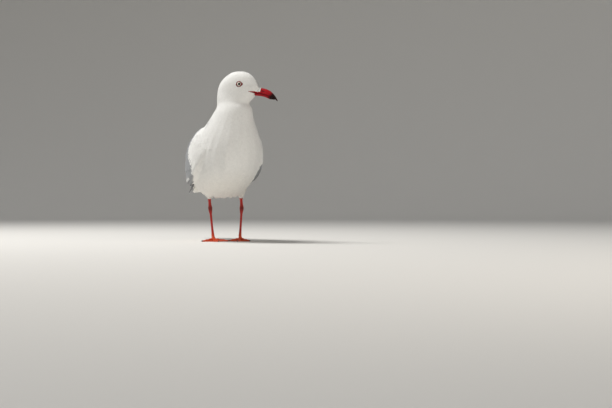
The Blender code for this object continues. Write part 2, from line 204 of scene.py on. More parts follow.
def make_mesh(name, points, triangles, material, normals=None):
    """A smooth triangle mesh in the row frame, riding on the body."""
    mesh = bpy.data.meshes.new(name)
    mesh.vertices.add(len(points))
    mesh.vertices.foreach_set("co", ((points + ORIGIN) * MM).ravel())
    mesh.loops.add(triangles.size)
    mesh.loops.foreach_set("vertex_index", triangles.ravel())
    mesh.polygons.add(len(triangles))
    mesh.polygons.foreach_set("loop_start", np.arange(0, triangles.size, 3))
    mesh.update(calc_edges=True)
    mesh.shade_smooth()
    if normals is not None:
        mesh.normals_split_custom_set_from_vertices(normals.tolist())
    mesh.materials.append(material)
    piece = add_to_scene(name, mesh)
    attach(piece, "root")
    return piece


def set_map(piece, name, corners):
    piece.data.uv_layers.new(name=name).uv.foreach_set("vector", corners.ravel())


def set_tint(piece, colours):
    """A colour for each point, which the material reads as its pigment."""
    rgba = np.ones((len(colours), 4))
    rgba[:, :3] = colours
    pigment = piece.data.color_attributes.new("pigment", "FLOAT_COLOR", "POINT")
    pigment.data.foreach_set("color", rgba.ravel())


# Materials


def new_material(name, roughness, specular):
    material = bpy.data.materials.new(name)
    material.use_nodes = True
    shader = material.node_tree.nodes["Principled BSDF"]
    shader.inputs["Roughness"].default_value = roughness
    shader.inputs["Specular IOR Level"].default_value = specular
    return material, shader


class Nodes:
    """Short names for the nodes that the materials are made from."""

    def __init__(self, material):
        self.tree = material.node_tree

    def new(self, kind, **settings):
        node = self.tree.nodes.new(kind)
        for key, value in settings.items():
            setattr(node, key, value)
        return node

    def link(self, output, socket):
        self.tree.links.new(output, socket)

    def noise(self, scale, detail=3.0):
        node = self.new("ShaderNodeTexNoise")
        node.inputs["Scale"].default_value = scale
        node.inputs["Detail"].default_value = detail
        self.link(self.new("ShaderNodeTexCoord").outputs["Object"], node.inputs["Vector"])
        return node.outputs["Fac"]

    def calculate(self, operation, *values):
        """A math node. Each value is a number or another node's output."""
        node = self.new("ShaderNodeMath", operation=operation)
        for socket, value in zip(node.inputs, values):
            if isinstance(value, bpy.types.NodeSocket):
                self.link(value, socket)
            else:
                socket.default_value = value
        return node.outputs["Value"]

    def spread(self, value, low, high, start=0.3, end=0.7):
        """The value mapped from start..end to low..high."""
        node = self.new("ShaderNodeMapRange")
        self.link(value, node.inputs["Value"])
        for key, number in (("From Min", start), ("From Max", end), ("To Min", low), ("To Max", high)):
            node.inputs[key].default_value = number
        return node.outputs["Result"]

    def paint(self, shader, shade):
        """The pigment of each point, made lighter and darker by the shade, as the shader's colour."""
        node = self.new("ShaderNodeVectorMath", operation="SCALE")
        self.link(self.new("ShaderNodeAttribute", attribute_name="pigment").outputs["Color"], node.inputs[0])
        self.link(shade, node.inputs["Scale"])
        self.link(node.outputs["Vector"], shader.inputs["Base Color"])

    def bump(self, shader, height, distance, strength=0.6):
        node = self.new("ShaderNodeBump")
        node.inputs["Distance"].default_value = distance * MM
        node.inputs["Strength"].default_value = strength
        self.link(height, node.inputs["Height"])
        self.link(node.outputs["Normal"], shader.inputs["Normal"])


def pigment_material(name, roughness, specular, scale, mottle, grain, height, strength=0.6, sheen=0.0):
    """Colour from the pigment of each point, with soft mottling and a fine grain. Scales are per metre."""
    material, shader = new_material(name, roughness, specular)
    nodes = Nodes(material)
    nodes.paint(shader, nodes.spread(nodes.noise(scale), 1 - mottle, 1 + mottle))
    nodes.bump(shader, nodes.noise(grain, 2.0), height, strength)
    shader.inputs["Sheen Weight"].default_value = sheen
    shader.inputs["Sheen Roughness"].default_value = 0.6
    return material


# How far back the barbs' lines run for each millimetre to the side, and how close they are, in radians per mm
BARB_SLANT, BARB_PITCH = 0.9, 9.0


def vane_material(name, roughness, specular):
    """Firm vanes: pigment, with the slanting barbs drawn across each vane from its own map."""
    material, shader = new_material(name, roughness, specular)
    nodes = Nodes(material)
    parts = nodes.new("ShaderNodeSeparateXYZ")
    nodes.link(nodes.new("ShaderNodeUVMap", uv_map="vane").outputs["UV"], parts.inputs["Vector"])
    slant = nodes.calculate("ABSOLUTE", parts.outputs["X"])
    along = nodes.calculate("MULTIPLY_ADD", slant, -BARB_SLANT, parts.outputs["Y"])
    wave = nodes.calculate("SINE", nodes.calculate("MULTIPLY", along, BARB_PITCH))
    mottling = nodes.spread(nodes.noise(300.0), 0.94, 1.05)
    barbs = nodes.spread(wave, 0.985, 1.015, -1.0, 1.0)
    nodes.paint(shader, nodes.calculate("MULTIPLY", mottling, barbs))
    nodes.bump(shader, wave, 0.03)
    shader.inputs["Sheen Weight"].default_value = 0.08
    return material


WHITE = np.array([0.86, 0.855, 0.83])
CREAM = np.array([0.84, 0.80, 0.70])
GREY = np.array([0.275, 0.285, 0.298])
BLACK = np.array([0.016, 0.016, 0.019])
RED = np.array([0.36, 0.010, 0.016])
DARK_RED = np.array([0.09, 0.003, 0.006])
BRIGHTEST = 0.92
DOWN = pigment_material("soft_plumage", 0.85, 0.25, 420.0, 0.03, 2600.0, 0.12, 0.5, sheen=0.12)
VANE = vane_material("firm_plumage", 0.6, 0.35)
DARK_VANE = vane_material("black_plumage_vane", 0.42, 0.5)


# The whole plumed body, and its lie


PLUMED = ["head", "neck", "trunk", "tail", "wing_left", "wing_right", "thigh_left", "thigh_right"]
HULL = fused(PLUMED + ["eye_left", "eye_right"], 1.5, 4, 0.8)


def label_tree(names):
    """A search tree of the nodes' triangles, and the number of the node that each triangle is from."""
    points, triangles, owner = [], [], []
    count = 0
    for number, name in enumerate(names):
        p, t = mesh_arrays(NODES[name].data)
        points.append(p)
        triangles.append(t + count)
        owner += [number] * len(t)
        count += len(p)
    tree = BVHTree.FromPolygons(np.vstack(points).tolist(), np.vstack(triangles).tolist())
    return tree, np.array(owner)


LABEL_TREE, LABEL_OWNER = label_tree(PLUMED)
# A smoother body, on which the sides of the wide feathers are bent
SLEEK = fused(PLUMED, 2.2, 10, 1.8)


def labels(places):
    """Which of the PLUMED nodes each place is nearest to."""
    return LABEL_OWNER[nearest(LABEL_TREE, places)]


HULL_LABELS = labels(HULL.points)
HEAD, NECK, TRUNK, TAIL, WING_LEFT, WING_RIGHT, THIGH_LEFT, THIGH_RIGHT = range(len(PLUMED))

EYE = {side: (node_box(f"eye_{side}")[0] + node_box(f"eye_{side}")[1]) / 2 - ORIGIN for side in SIDES}
EYES_MIDDLE = (EYE["left"] + EYE["right"]) / 2
LEFTWARD = unit(EYE["left"] - EYE["right"])
FORWARD = np.array([LEFTWARD[1], -LEFTWARD[0], 0.0])
UP = np.array([0.0, 0.0, 1.0])
EYE_RADIUS = np.subtract(*node_box("eye_left")[::-1])[2] / 2


def head_place(forward, side, height):
    """A place measured from between the eyes: towards the bill tip, to the left and up."""
    forward, side, height = (np.asarray(value, float)[..., None] for value in (forward, side, height))
    return EYES_MIDDLE + FORWARD * forward + LEFTWARD * side + UP * height


def head_terms(places):
    """The inverse: how far ahead of the eyes, to the left and up each place is."""
    apart = places - EYES_MIDDLE
    return apart @ FORWARD, apart @ LEFTWARD, apart[:, 2]


BEAK_BASE = head_place(24.0, 0.0, -9.0)

# The lie of the plumage: feathers point along this line, from the bill over the nape to the tail.
SPINE = np.array([
    head_place(27.0, 0.0, -8.0),
    head_place(8.0, 0.0, 0.0),
    head_place(-12.0, 0.0, -5.0),
    (0.0, -42.0, 206.0),
    (0.0, -37.0, 187.0),
    (0.0, -26.0, 165.0),
    (0.0, -8.0, 143.0),
    (0.0, 22.0, 122.0),
    (0.0, 62.0, 107.0),
    (0.0, 110.0, 93.0),
    (0.0, 174.0, 78.0),
])


def curve(rows, steps):
    """Catmull-Rom points through the rows."""
    padded = np.vstack([2 * rows[0] - rows[1], rows, 2 * rows[-1] - rows[-2]])
    made = []
    for a, b, c, d in zip(padded, padded[1:], padded[2:], padded[3:]):
        square, cube = 2 * a - 5 * b + 4 * c - d, 3 * b - a - 3 * c + d
        for t in np.arange(steps) / steps:
            made.append(0.5 * (2 * b + (c - a) * t + square * t**2 + cube * t**3))
    return np.array(made + [rows[-1]])


SPINE_POINTS = curve(SPINE, 6)
SPINE_WAYS = unit(np.gradient(SPINE_POINTS, axis=0))


# How softly the lie follows the nearest points of the spine, in square millimetres
SPINE_BLUR = 60.0


def lie(places, normals):
    """The direction feathers point at these places on the body."""
    apart = ((places[:, None] - SPINE_POINTS[None]) ** 2).sum(2)
    weight = 1 / (apart + SPINE_BLUR) ** 3
    way = (SPINE_WAYS[None] * weight[..., None]).sum(1) / weight.sum(1, keepdims=True)
    return tangent(way, normals)


# Feathers


def barb_fan(barbs):
    """A soft feather: narrow barbs that fan out from the shaft over a small inner leaf.
    Returns places along and across the feather, the barb each point belongs to, and triangles."""
    spots = [(0.0, 0.0), (0.3, -0.62), (0.3, 0.62), (0.62, -0.74), (0.62, 0.74), (0.86, 0.0)]
    triangles = [(0, 2, 1), (1, 2, 3), (3, 2, 4), (3, 4, 5)]
    leaf = len(spots)
    for i in range(barbs):
        lean = 2 * i / (barbs - 1) - 1
        start = np.array([0.10 + 0.52 * (1 - abs(lean)), 0.0])
        end = np.array([1 - 0.50 * abs(lean) ** 1.9, math.copysign(abs(lean) ** 0.85, lean)])
        way = end - start
        side = unit(np.array([-way[1] * 0.4, way[0] + 0.25]))
        first = len(spots)
        for centre, half in ((start, 0.05), (start + way * (0.55, 0.68), 1.25 / barbs)):
            spots += [centre - side * half, centre + side * half]
        spots.append(end)
        triangles += [(first + a, first + b, first + c) for a, b, c in ((0, 1, 2), (1, 3, 2), (2, 3, 4))]
    along, across = np.array(spots).T
    barb = np.concatenate([np.zeros(leaf, int), np.repeat(np.arange(barbs) + 1, 5)])
    return along, across, barb, np.array(triangles)


def repeated(shape, count):
    """The shape's triangles for this many feathers in one mesh."""
    return (shape[3][None] + np.arange(count)[:, None, None] * len(shape[0])).reshape(-1, 3)


def firm_vane(rows, columns, point, root):
    """A firm feather as a grid, narrow at the root and round at the tip, or blunt where point is higher.
    Root is its width at the root, as a share of its full width."""
    share = 1 - (1 - np.linspace(0, 1, rows)) ** 1.7
    end = np.clip((share - 0.68) / 0.32, 0, 1)
    width = (root + (1 - root) * ramp(share, 0.0, 0.35)) * np.sqrt(np.clip(1 - end**point, 0, 1))
    width[-1] = 0.16
    side = np.linspace(-1, 1, columns)
    along = np.repeat(share, columns)
    across = (width[:, None] * side[None]).ravel()
    first = (np.arange(rows - 1)[:, None] * columns + np.arange(columns - 1)[None]).ravel()
    quads = np.stack([first, first + 1, first + columns + 1, first + columns], 1)
    triangles = np.vstack([quads[:, [0, 1, 2]], quads[:, [0, 2, 3]]])
    return along, across, np.zeros(len(along), int), triangles


def shafts(surface, roots, ways, lengths, stations, firm):
    """Walks each feather's shaft over the surface. Past a sharp edge a firm feather goes straight on."""
    place, normal = surface.lay(roots)
    way = tangent(ways, normal)
    places, directions, normals = [place], [way], [normal]
    step = (lengths / (stations - 1))[:, None]
    for _ in range(stations - 1):
        ahead = place + way * step
        laid, facing = surface.lay(ahead)
        off = (facing * normal).sum(1, keepdims=True) < firm
        place = np.where(off, ahead, laid)
        normal = np.where(off, normal, facing)
        way = tangent(way, normal)
        places.append(place)
        directions.append(way)
        normals.append(normal)
    return np.stack(places, 1), np.stack(directions, 1), np.stack(normals, 1)


def grow_feathers(
    rng, shape, path, lengths, widths, depth, lift, camber, level=None, free=None, fray=0.0, ruffle=0.0,
    tilt=0.35,
):
    """The points of every feather: its shape bent along its shaft. Depth is how far the root lies below the
    surface and lift how far the tip stands above it. Where level is given, the feather's sides are bent round
    the body too, this far above it, and free says how much of that the edge near the back's middle loses.
    Fray and ruffle are how unevenly the barbs end and stand up, and tilt how much the normals show the slope.
    Returns points, smooth normals, and shares along and across, feather by feather."""
    along, across, barb, triangles = shape
    count, stations = path[0].shape[:2]
    barbs = barb.max() + 1
    stretch = rng.normal(0, 1, (count, barbs))[:, barb]
    rise = rng.normal(0, 1, (count, barbs))[:, barb]
    s = along[None] + fray * stretch * along[None] ** 2
    share = np.clip(s, 0, 1)
    t = across[None] + fray * 0.6 * rise * share * np.sign(barb)[None]
    at = share * (stations - 1)
    low = np.minimum(at.astype(int), stations - 2)
    mix = (at - low)[..., None]
    beyond = (s - share)[..., None] * lengths[:, None, None]
    rows = np.arange(count)[:, None]
    place, way, normal = (blend(part[rows, low], part[rows, low + 1], mix) for part in path)
    way, normal = unit(way), unit(normal)
    side = np.cross(way, normal)
    half = (widths / 2)[:, None]
    depth, lift = (np.broadcast_to(value, (count,))[:, None] for value in (depth, lift))
    height = -depth * (1 - share) ** 1.25 + lift * share**2 - camber * t**2 * half + ruffle * rise * share**2
    flat = place + way * beyond + side * (t * half)[..., None]
    if level is not None:
        laid, out = (part.reshape(flat.shape) for part in SLEEK.lay(flat.reshape(-1, 3)))
        edges = [spots[:, triangles] - spots[:, np.roll(triangles, -1, 1)] for spots in (flat, laid)]
        before, after = (np.linalg.norm(edge, axis=-1).max(axis=(1, 2)) for edge in edges)
        away = np.linalg.norm(laid - flat, axis=-1).max(1)
        # A feather that bending would tear, move far or turn over stays flat.
        bent = (after < 1.5 * before) & (away < 12) & ((out * normal).sum(-1).min(1) > -0.2)
        bent = bent[:, None, None]
        inner = np.clip((np.abs(place[..., 0]) - np.abs(flat[..., 0])) / half, 0, 1)[..., None]
        high = level[:, None, None] * (1 - (0 if free is None else free[:, None, None]) * inner**1.5)
        flat = np.where(bent, laid, flat) + np.where(bent, out, normal) * high
        normal = np.where(bent, out, normal)
    points = flat + normal * height[..., None]
    slope = ((depth + 2 * lift * share) / lengths[:, None])[..., None] * tilt
    smooth = unit(normal - way * slope + side * (2 * camber * t)[..., None])
    return points.reshape(-1, 3), smooth.reshape(-1, 3), s, t


# Tries for each place that would fit, and at most for one coat
TRIES, MOST_TRIES = 6.0, 90000


def scatter(rng, surface, wanted, spacing):
    """Places spread evenly over the wanted triangles, each at least its own spacing from the others."""
    chosen = np.nonzero(wanted)[0]
    area = surface.areas[chosen]
    middles = surface.points[surface.triangles[chosen]].mean(1)
    gaps = spacing(middles)
    crowd = area / gaps**2
    count = int(min(MOST_TRIES, TRIES * crowd.sum()))
    pick = chosen[rng.choice(len(chosen), count, p=crowd / crowd.sum())]
    a, b = np.sqrt(rng.random(count)), rng.random(count)
    shares = np.stack([1 - a, a * (1 - b), a * b], 1)
    places = (surface.points[surface.triangles[pick]] * shares[..., None]).sum(1)
    gap = spacing(places)
    cell = gap.max()
    cells, kept = {}, []
    keys = np.floor(places / cell).astype(int)
    around = [(i, j, k) for i in (-1, 0, 1) for j in (-1, 0, 1) for k in (-1, 0, 1)]
    for n, ((x, y, z), (i, j, k), r) in enumerate(zip(places.tolist(), keys.tolist(), (gap**2).tolist())):
        near = False
        for di, dj, dk in around:
            for p, q, s in cells.get((i + di, j + dj, k + dk), ()):
                if (x - p) ** 2 + (y - q) ** 2 + (z - s) ** 2 < r:
                    near = True
                    break
            if near:
                break
        if not near:
            cells.setdefault((i, j, k), []).append((x, y, z))
            kept.append(n)
    return places[kept]


# The skin


# How deep the skin lies below the coat's tips, in the order of PLUMED. On the head it is least at the bill.
COAT_DEPTHS = np.array([0.6, 0.9, 1.3, 1.2, 1.2, 1.2, 0.8, 0.8])
BILL_DEPTH, CROWN_DEPTH = 0.35, 0.6


def coat_depth(places, owner):
    beak = np.linalg.norm(places - BEAK_BASE, axis=1)
    return np.where(owner == HEAD, blend(BILL_DEPTH, CROWN_DEPTH, ramp(beak, 8.0, 30.0)), COAT_DEPTHS[owner])


def thickness(surface, most):
    """How thick the body is under each point of a surface, up to a limit."""
    found = np.full(len(surface.points), most)
    starts = (surface.points - surface.normals * 0.05).tolist()
    for k, (start, way) in enumerate(zip(starts, (-surface.normals).tolist())):
        distance = surface.tree.ray_cast(start, way, most)[3]
        if distance is not None:
            found[k] = distance
    return found


def evened(values, triangles, rounds):
    """The values at a mesh's points, averaged with their neighbours a few times."""
    for _ in range(rounds):
        total, count = np.zeros(len(values)), np.zeros(len(values))
        for k in range(3):
            np.add.at(total, triangles[:, k], values[triangles].mean(1))
            np.add.at(count, triangles[:, k], 1.0)
        values = total / count
    return values


def clumps(places, size, seed):
    """Smooth random values from 0 to 1, which change over about this distance."""
    rng = np.random.default_rng(seed)
    ways = unit(rng.normal(0, 1, (9, 3))) * (2 * math.pi / size) * rng.uniform(0.6, 1.3, (9, 1))
    waves = np.cos(places @ ways.T + rng.uniform(0, 2 * math.pi, 9)).sum(1)
    return np.clip(0.5 + 0.14 * waves, 0, 1)


# How far back the white feathers of the breast's sides and flanks reach over the left and right wing at each
# height: the bird stands twisted a little, so that they lie differently over each wing
WHITE_REACH = np.array([
    (84.0, 10.0, 34.0),
    (90.0, 4.0, 22.0),
    (95.0, -6.0, 10.0),
    (100.0, -22.0, 0.0),
    (110.0, -28.0, -2.0),
    (118.0, -28.0, -6.0),
    (124.0, -26.0, 2.0),
    (130.0, -24.0, 9.0),
    (140.0, -21.0, 12.0),
    (150.0, -19.0, 10.0),
    (160.0, -19.0, 3.0),
    (170.0, -21.0, -8.0),
    (179.0, -24.0, -20.0),
])


def behind_white(places):
    """How far back a place on the wing is from the white feathers' edge."""
    reach = [np.interp(places[:, 2], WHITE_REACH[:, 0], WHITE_REACH[:, k]) for k in (1, 2)]
    return places[:, 1] - np.where(places[:, 0] > 0, *reach)


def is_wing(owner):
    return (owner == WING_LEFT) | (owner == WING_RIGHT)


def greyness(places, normals, owner):
    """How grey the plumage is: the mantle and the wings are grey, with a white front edge."""
    x, y, z = np.abs(places[:, 0]), places[:, 1], places[:, 2]
    back = normals[:, 2] * 0.8 + normals[:, 1] * 0.6
    limit = 176.0 + 24.0 * ramp(y, -28.0, -6.0)
    nape = (1 - ramp(z, limit, limit + 6.0)) * ramp(y, -44.0, -34.0)
    mantle = ramp(back, 0.15, 0.45) * nape * (1 - ramp(y, 84.0, 94.0))
    wing = ramp(behind_white(places), -4.0, 3.0)
    return np.where(is_wing(owner), wing, np.where((owner == TRUNK) & (x < 40), mantle, 0.0))


def body_colours(places, normals, owner):
    """White, a little creamy low on the belly and under the tail, and grey on mantle and wings. The grey is
    painted paler high on the wing's front, a painted highlight of the light from above at the wing's bend."""
    cream = 0.35 * ramp(-normals[:, 2], 0.0, 0.9) * ramp(120 - places[:, 2], 0.0, 40.0)
    cream = np.where(owner == TAIL, np.maximum(cream, 0.5), cream)[:, None]
    grey = greyness(places, normals, owner)
    # Painted highlight: the grey is made paler high on the front of the wing, where the light from above falls.
    painted_highlight = (1 - ramp(places[:, 1], 14.0, 52.0)) * ramp(places[:, 2], 120.0, 130.0)
    return blend(blend(WHITE, CREAM, cream), GREY, (grey * (1 - 0.45 * painted_highlight))[:, None])


# The folded wing and its primaries, in slices as in the solids: how far back, then how far out and how high
# the outer face's upper edge is, the same for its lower edge, and how far the face between them bows out
WING = np.array([
    (-42.0, 36.0, 153.0, 41.5, 138.0, 2.0),
    (-35.0, 35.0, 163.0, 47.0, 127.0, 4.5),
    (-18.0, 29.0, 175.5, 52.5, 112.0, 13.0),
    (2.0, 19.0, 179.0, 53.5, 101.5, 20.5),
    (24.0, 11.0, 175.5, 53.0, 94.5, 25.5),
    (48.0, 6.0, 165.5, 51.0, 90.0, 26.0),
    (72.0, 3.5, 151.5, 43.0, 88.0, 24.5),
    (96.0, 2.0, 137.0, 32.5, 87.5, 17.5),
    (118.0, 1.5, 122.5, 22.5, 91.5, 10.5),
    (136.0, 2.0, 110.5, 15.0, 95.5, 5.0),
    (146.0, 4.0, 103.5, 9.5, 99.0, 1.5),
])
PRIMARIES = np.array([
    (100.0, 6.0, 112.0, 26.0, 91.5, 5.0),
    (118.0, 4.0, 107.5, 26.0, 88.0, 5.5),
    (142.0, 2.5, 99.5, 25.0, 84.5, 4.5),
    (166.0, 2.4, 92.0, 22.0, 80.0, 3.2),
    (188.0, 4.0, 86.0, 17.5, 77.4, 2.0),
    (204.0, 6.5, 82.0, 13.0, 76.8, 1.0),
    (212.0, 8.4, 80.0, 10.4, 78.2, 0.3),
])
# The bow is fullest a little above the middle.
WING_LEAN = 0.72


def slice_place(table, y, share, side, out_by=0.0):
    """A place on a wing's outer face: how far back, and its share of the way from upper to lower edge."""
    ux, uz, lx, lz, bow = (np.interp(y, table[:, 0], table[:, k]) for k in range(1, 6))
    length = np.hypot(uz - lz, lx - ux)
    leaning = share**WING_LEAN
    out = (bow * 4 * leaning * (1 - leaning) + out_by) / length
    x = ux + (lx - ux) * share + (uz - lz) * out
    z = uz + (lz - uz) * share + (lx - ux) * out
    return np.stack([np.maximum(x, 0.6) * side, y, z], -1)


def wing_share(places):
    """The inverse: the share for places on a wing."""
    y = places[:, 1]
    ux, uz, lx, lz = (np.interp(y, WING[:, 0], WING[:, k]) for k in range(1, 5))
    across, up = np.abs(places[:, 0]) - ux, places[:, 2] - uz
    return np.clip((across * (lx - ux) + up * (lz - uz)) / ((lx - ux) ** 2 + (lz - uz) ** 2), 0, 1)


# Radii of the eye's pupil and iris, and of the bare ring of its lids: the inner one, and the outer ones ahead
# and upwards
PUPIL, IRIS = 1.8, 3.3
RING_INNER, RING_ACROSS, RING_HIGH = 2.9, 4.75, 4.25


def open_eye(places, reach, forwards=0.0):
    """Leaves the eyes' lids bare: the places outside this many of the rings' radii."""
    clear = np.ones(len(places), bool)
    for side, sign in SIDES.items():
        apart = places - EYE[side]
        near = np.hypot((apart @ FORWARD - forwards) / RING_ACROSS, apart[:, 2] / RING_HIGH)
        clear &= (near > reach) | (apart @ LEFTWARD * sign < 0)
    return clear


# The skin lies at most this share of the body's thickness deep. Where the wings' lower edges are thinner than
# THIN, and behind the skin's ends on wings and tail, there are only feathers.
DEPTH_SHARE, THIN = 0.25, 3.2
WING_SKIN_END, TAIL_SKIN_END = 128.0, 136.0


def add_skin():
    """The skin under the coat, with an even unwrap of its own shape. It leaves out the wings' thin edges and
    ends and the tail, where there are only feathers, and the eyes' openings. Returns its map, by corners."""
    body = evened(thickness(HULL, 12.0), HULL.triangles, 2)
    depth = np.minimum(coat_depth(HULL.points, HULL_LABELS), DEPTH_SHARE * body)
    points = HULL.points - HULL.normals * evened(depth, HULL.triangles, 3)[:, None]
    for axis in range(3):
        softer = evened(points[:, axis], HULL.triangles, 6)
        points[:, axis] = np.where(body < 2 * THIN, softer, points[:, axis])
    share, y = wing_share(HULL.points), HULL.points[:, 1]
    wing_end = (y > 86.0) & (share > 0.55) | (y > WING_SKIN_END)
    bare = is_wing(HULL_LABELS) & ((body < THIN) & (share > 0.62) | wing_end)
    bare = evened(bare * 1.0, HULL.triangles, 5) > 0.3
    bare |= (HULL_LABELS == TAIL) & (y > TAIL_SKIN_END)
    bare |= ~open_eye(HULL.points, 0.85)
    skin = make_mesh("skin", points, HULL.triangles, DOWN)
    # It is painted a little darker than the coat, a painted shade under the feathers, and its grey begins a
    # little farther back.
    set_tint(skin, body_colours(HULL.points - np.array([0, 6.0, 0]), HULL.normals, HULL_LABELS) * 0.93)
    bpy.context.view_layer.objects.active = skin
    skin.data.uv_layers.new(name="OFBake")
    bpy.ops.object.mode_set(mode="EDIT")
    bpy.ops.mesh.select_all(action="SELECT")
    bpy.ops.uv.smart_project(angle_limit=math.radians(66), island_margin=0.004)
    bpy.ops.object.mode_set(mode="OBJECT")
    corners = np.zeros(len(skin.data.loops) * 2)
    skin.data.uv_layers["OFBake"].uv.foreach_get("vector", corners)
    bm = bmesh.new()
    bm.from_mesh(skin.data)
    bm.faces.ensure_lookup_table()
    cut = np.nonzero(bare[HULL.triangles].any(1))[0]
    bmesh.ops.delete(bm, geom=[bm.faces[k] for k in cut], context="FACES")
    bm.to_mesh(skin.data)
    bm.free()
    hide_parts(*PLUMED)
    return corners.reshape(-1, 3, 2)


SKIN_MAP = add_skin()
# How wide each tuft's patch is on the unwrap
TUFT_PATCH = 0.003


# Soft coats


def tuft_map(roots, s, t, triangles):
    """Each tuft's small patch on the skin's unwrap, at its root's place."""
    index, shares = HULL.locate(roots)
    middle = (SKIN_MAP[index] * shares[..., None]).sum(1)
    spots = middle[:, None] + TUFT_PATCH * np.stack([t * 0.5, s - 0.5], -1)
    return np.clip(spots, 0, 1).reshape(-1, 2)[triangles.ravel()]


def turned(ways, normals, degrees):
    """The directions, each turned by its own angle in the surface."""
    turn = np.radians(degrees)[:, None]
    return ways * np.cos(turn) + np.cross(ways, normals) * np.sin(turn)


TURN_ALONE, TURN_TOGETHER, PATCH = 6, 12, 15.0


def add_coat(
    name, seed, wanted, size, barbs, spacing=0.26, lift=lambda roots: 0.05, ruffle=0.03, ways=lie, bent=False,
    body=HULL,
):
    """A piece of soft coat. size gives each feather's length at a place, spacing how far apart they grow as a
    share of it, and lift how far the tip stands out. The feathers of a bent coat also bend sideways."""
    rng = np.random.default_rng(seed)
    spacing = spacing * 1
    roots, normals = body.lay(scatter(rng, body, wanted, lambda p: size(p) * spacing))
    turn = rng.normal(0, TURN_ALONE, len(roots)) + TURN_TOGETHER * (clumps(roots, PATCH, 90 + seed) - 0.5)
    headings = turned(ways(roots, normals), normals, turn)
    lengths = size(roots) * rng.uniform(0.88, 1.12, len(roots))
    path = shafts(body, roots - headings * lengths[:, None] * 0.5, headings, lengths, stations=4, firm=0.3)
    level = np.zeros(len(roots)) if bent else None
    shape = barb_fan(barbs)
    points, smooth, s, t = grow_feathers(
        rng, shape, path, lengths, widths=lengths * 0.66, depth=lengths * 0.06, lift=lift(roots), camber=0.08,
        level=level, fray=0.05, ruffle=ruffle, tilt=0.2,
    )
    count, each = s.shape
    triangles = repeated(shape, count)
    coat = make_mesh(name, points, triangles, DOWN, smooth)
    owner = labels(path[0][:, 2])
    base = body_colours(path[0][:, 2], path[2][:, 2], np.where(is_wing(owner), HEAD, owner))
    tone = rng.normal(1.0, 0.012, (count, 1))
    set_tint(coat, np.clip(np.repeat(base * tone, each, 0), 0, BRIGHTEST))
    set_map(coat, "OFBake", tuft_map(path[0][:, 1], s, t, triangles))


# For each triangle of the body: its node, its middle and the way that it faces
OWNER = HULL_LABELS[HULL.triangles[:, 0]]
MIDDLES = HULL.points[HULL.triangles].mean(1)
FACES_OUT = HULL.normals[HULL.triangles[:, 0]]


def head_size(places):
    """The head's feathers are finest at the bill and round the eyes."""
    beak = np.linalg.norm(places - BEAK_BASE, axis=1)
    eye = np.min([np.linalg.norm(places - place, axis=1) for place in EYE.values()], axis=0)
    return (2.2 + 1.9 * ramp(beak, 8.0, 46.0)) * (0.6 + 0.4 * ramp(eye, 5.5, 10.0))


def graded(least, most, axis, start, end):
    """A size that goes from the least to the most between two places along an axis of the body."""
    return lambda places: least + (most - least) * ramp(places[:, axis], start, end)


neck_size = graded(4.2, 7.6, 2, 212.0, 172.0)
body_size = graded(7.0, 12.5, 2, 185.0, 95.0)
tail_size = graded(11.0, 16.0, 1, 80.0, 115.0)
thigh_size = graded(4.5, 7.5, 2, 64.0, 80.0)


def lore_size(places):
    return np.full(len(places), 3.2)


def thigh_lie(places, normals):
    """The thighs' feathers hang down."""
    return tangent(lie(places, normals) * 0.35 + np.array([0.0, 0.1, -1.0]), normals)


def lore_lie(places, normals):
    """At the bill's base the feathers point forwards, over its horn."""
    return tangent(FORWARD - UP * 0.25, normals)


def lore_lift(places):
    """The foremost ones stand up over the bill's ridge."""
    ahead, _, up = head_terms(places)
    return 0.1 + 0.2 * clumps(places, 3.0, 3) + 0.7 * ramp(up, -8.5, -4.5) * ramp(ahead, 26.0, 28.5)


def belly_lift(places):
    """Loose tufts hang from the lowest part of the belly."""
    hang = ramp(76.0 - places[:, 2], 0.0, 5.0)
    return 0.06 + hang * (0.2 + 3.2 * clumps(places, 7.0, 5) ** 2)


def side_lift(places):
    """Looser tufts on the breast's sides, where it meets the wings."""
    x, z = np.abs(places[:, 0]), places[:, 2]
    loose = ramp(x, 20.0, 42.0) * ramp(z, 105.0, 125.0) * (1 - ramp(z, 165.0, 180.0))
    return 0.05 + loose * 0.9 * clumps(places, 9.0, 7) ** 2


def flank_lift(places):
    return 0.55 + 0.8 * clumps(places, 9.0, 8) ** 2


def tail_lift(places):
    """The feathers under the tail are loose."""
    return 0.05 + ramp(96.0 - places[:, 2], 0.0, 6.0) * 1.6 * clumps(places, 8.0, 9) ** 2


# The gape: how far ahead of the eyes, then the heights of its lower edge, the mouth's line and its upper edge
GAPE = np.array([
    (13.6, -11.1, -10.8, -10.4),
    (16.5, -12.0, -11.3, -10.4),
    (19.0, -13.0, -12.0, -10.4),
    (22.0, -14.4, -12.8, -10.7),
    (24.5, -16.2, -13.2, -10.9),
    (27.0, -17.0, -13.4, -10.9),
    (30.5, -17.0, -13.8, -10.6),
])


def off_gape(places):
    """Leaves the bare gape free of feathers."""
    ahead, _, up = head_terms(places)
    low, high = (np.interp(ahead + 1.0, GAPE[:, 0], GAPE[:, k]) for k in (1, 3))
    return (ahead < GAPE[0, 0] - 1.0) | (up < low - 0.2) | (up > high + 0.1)


FACE = fused(["head", "bill_upper"], 0.6, 3, 0.3)
ON_TRUNK = OWNER == TRUNK
MANTLE = greyness(MIDDLES, FACES_OUT, OWNER) > 0.5


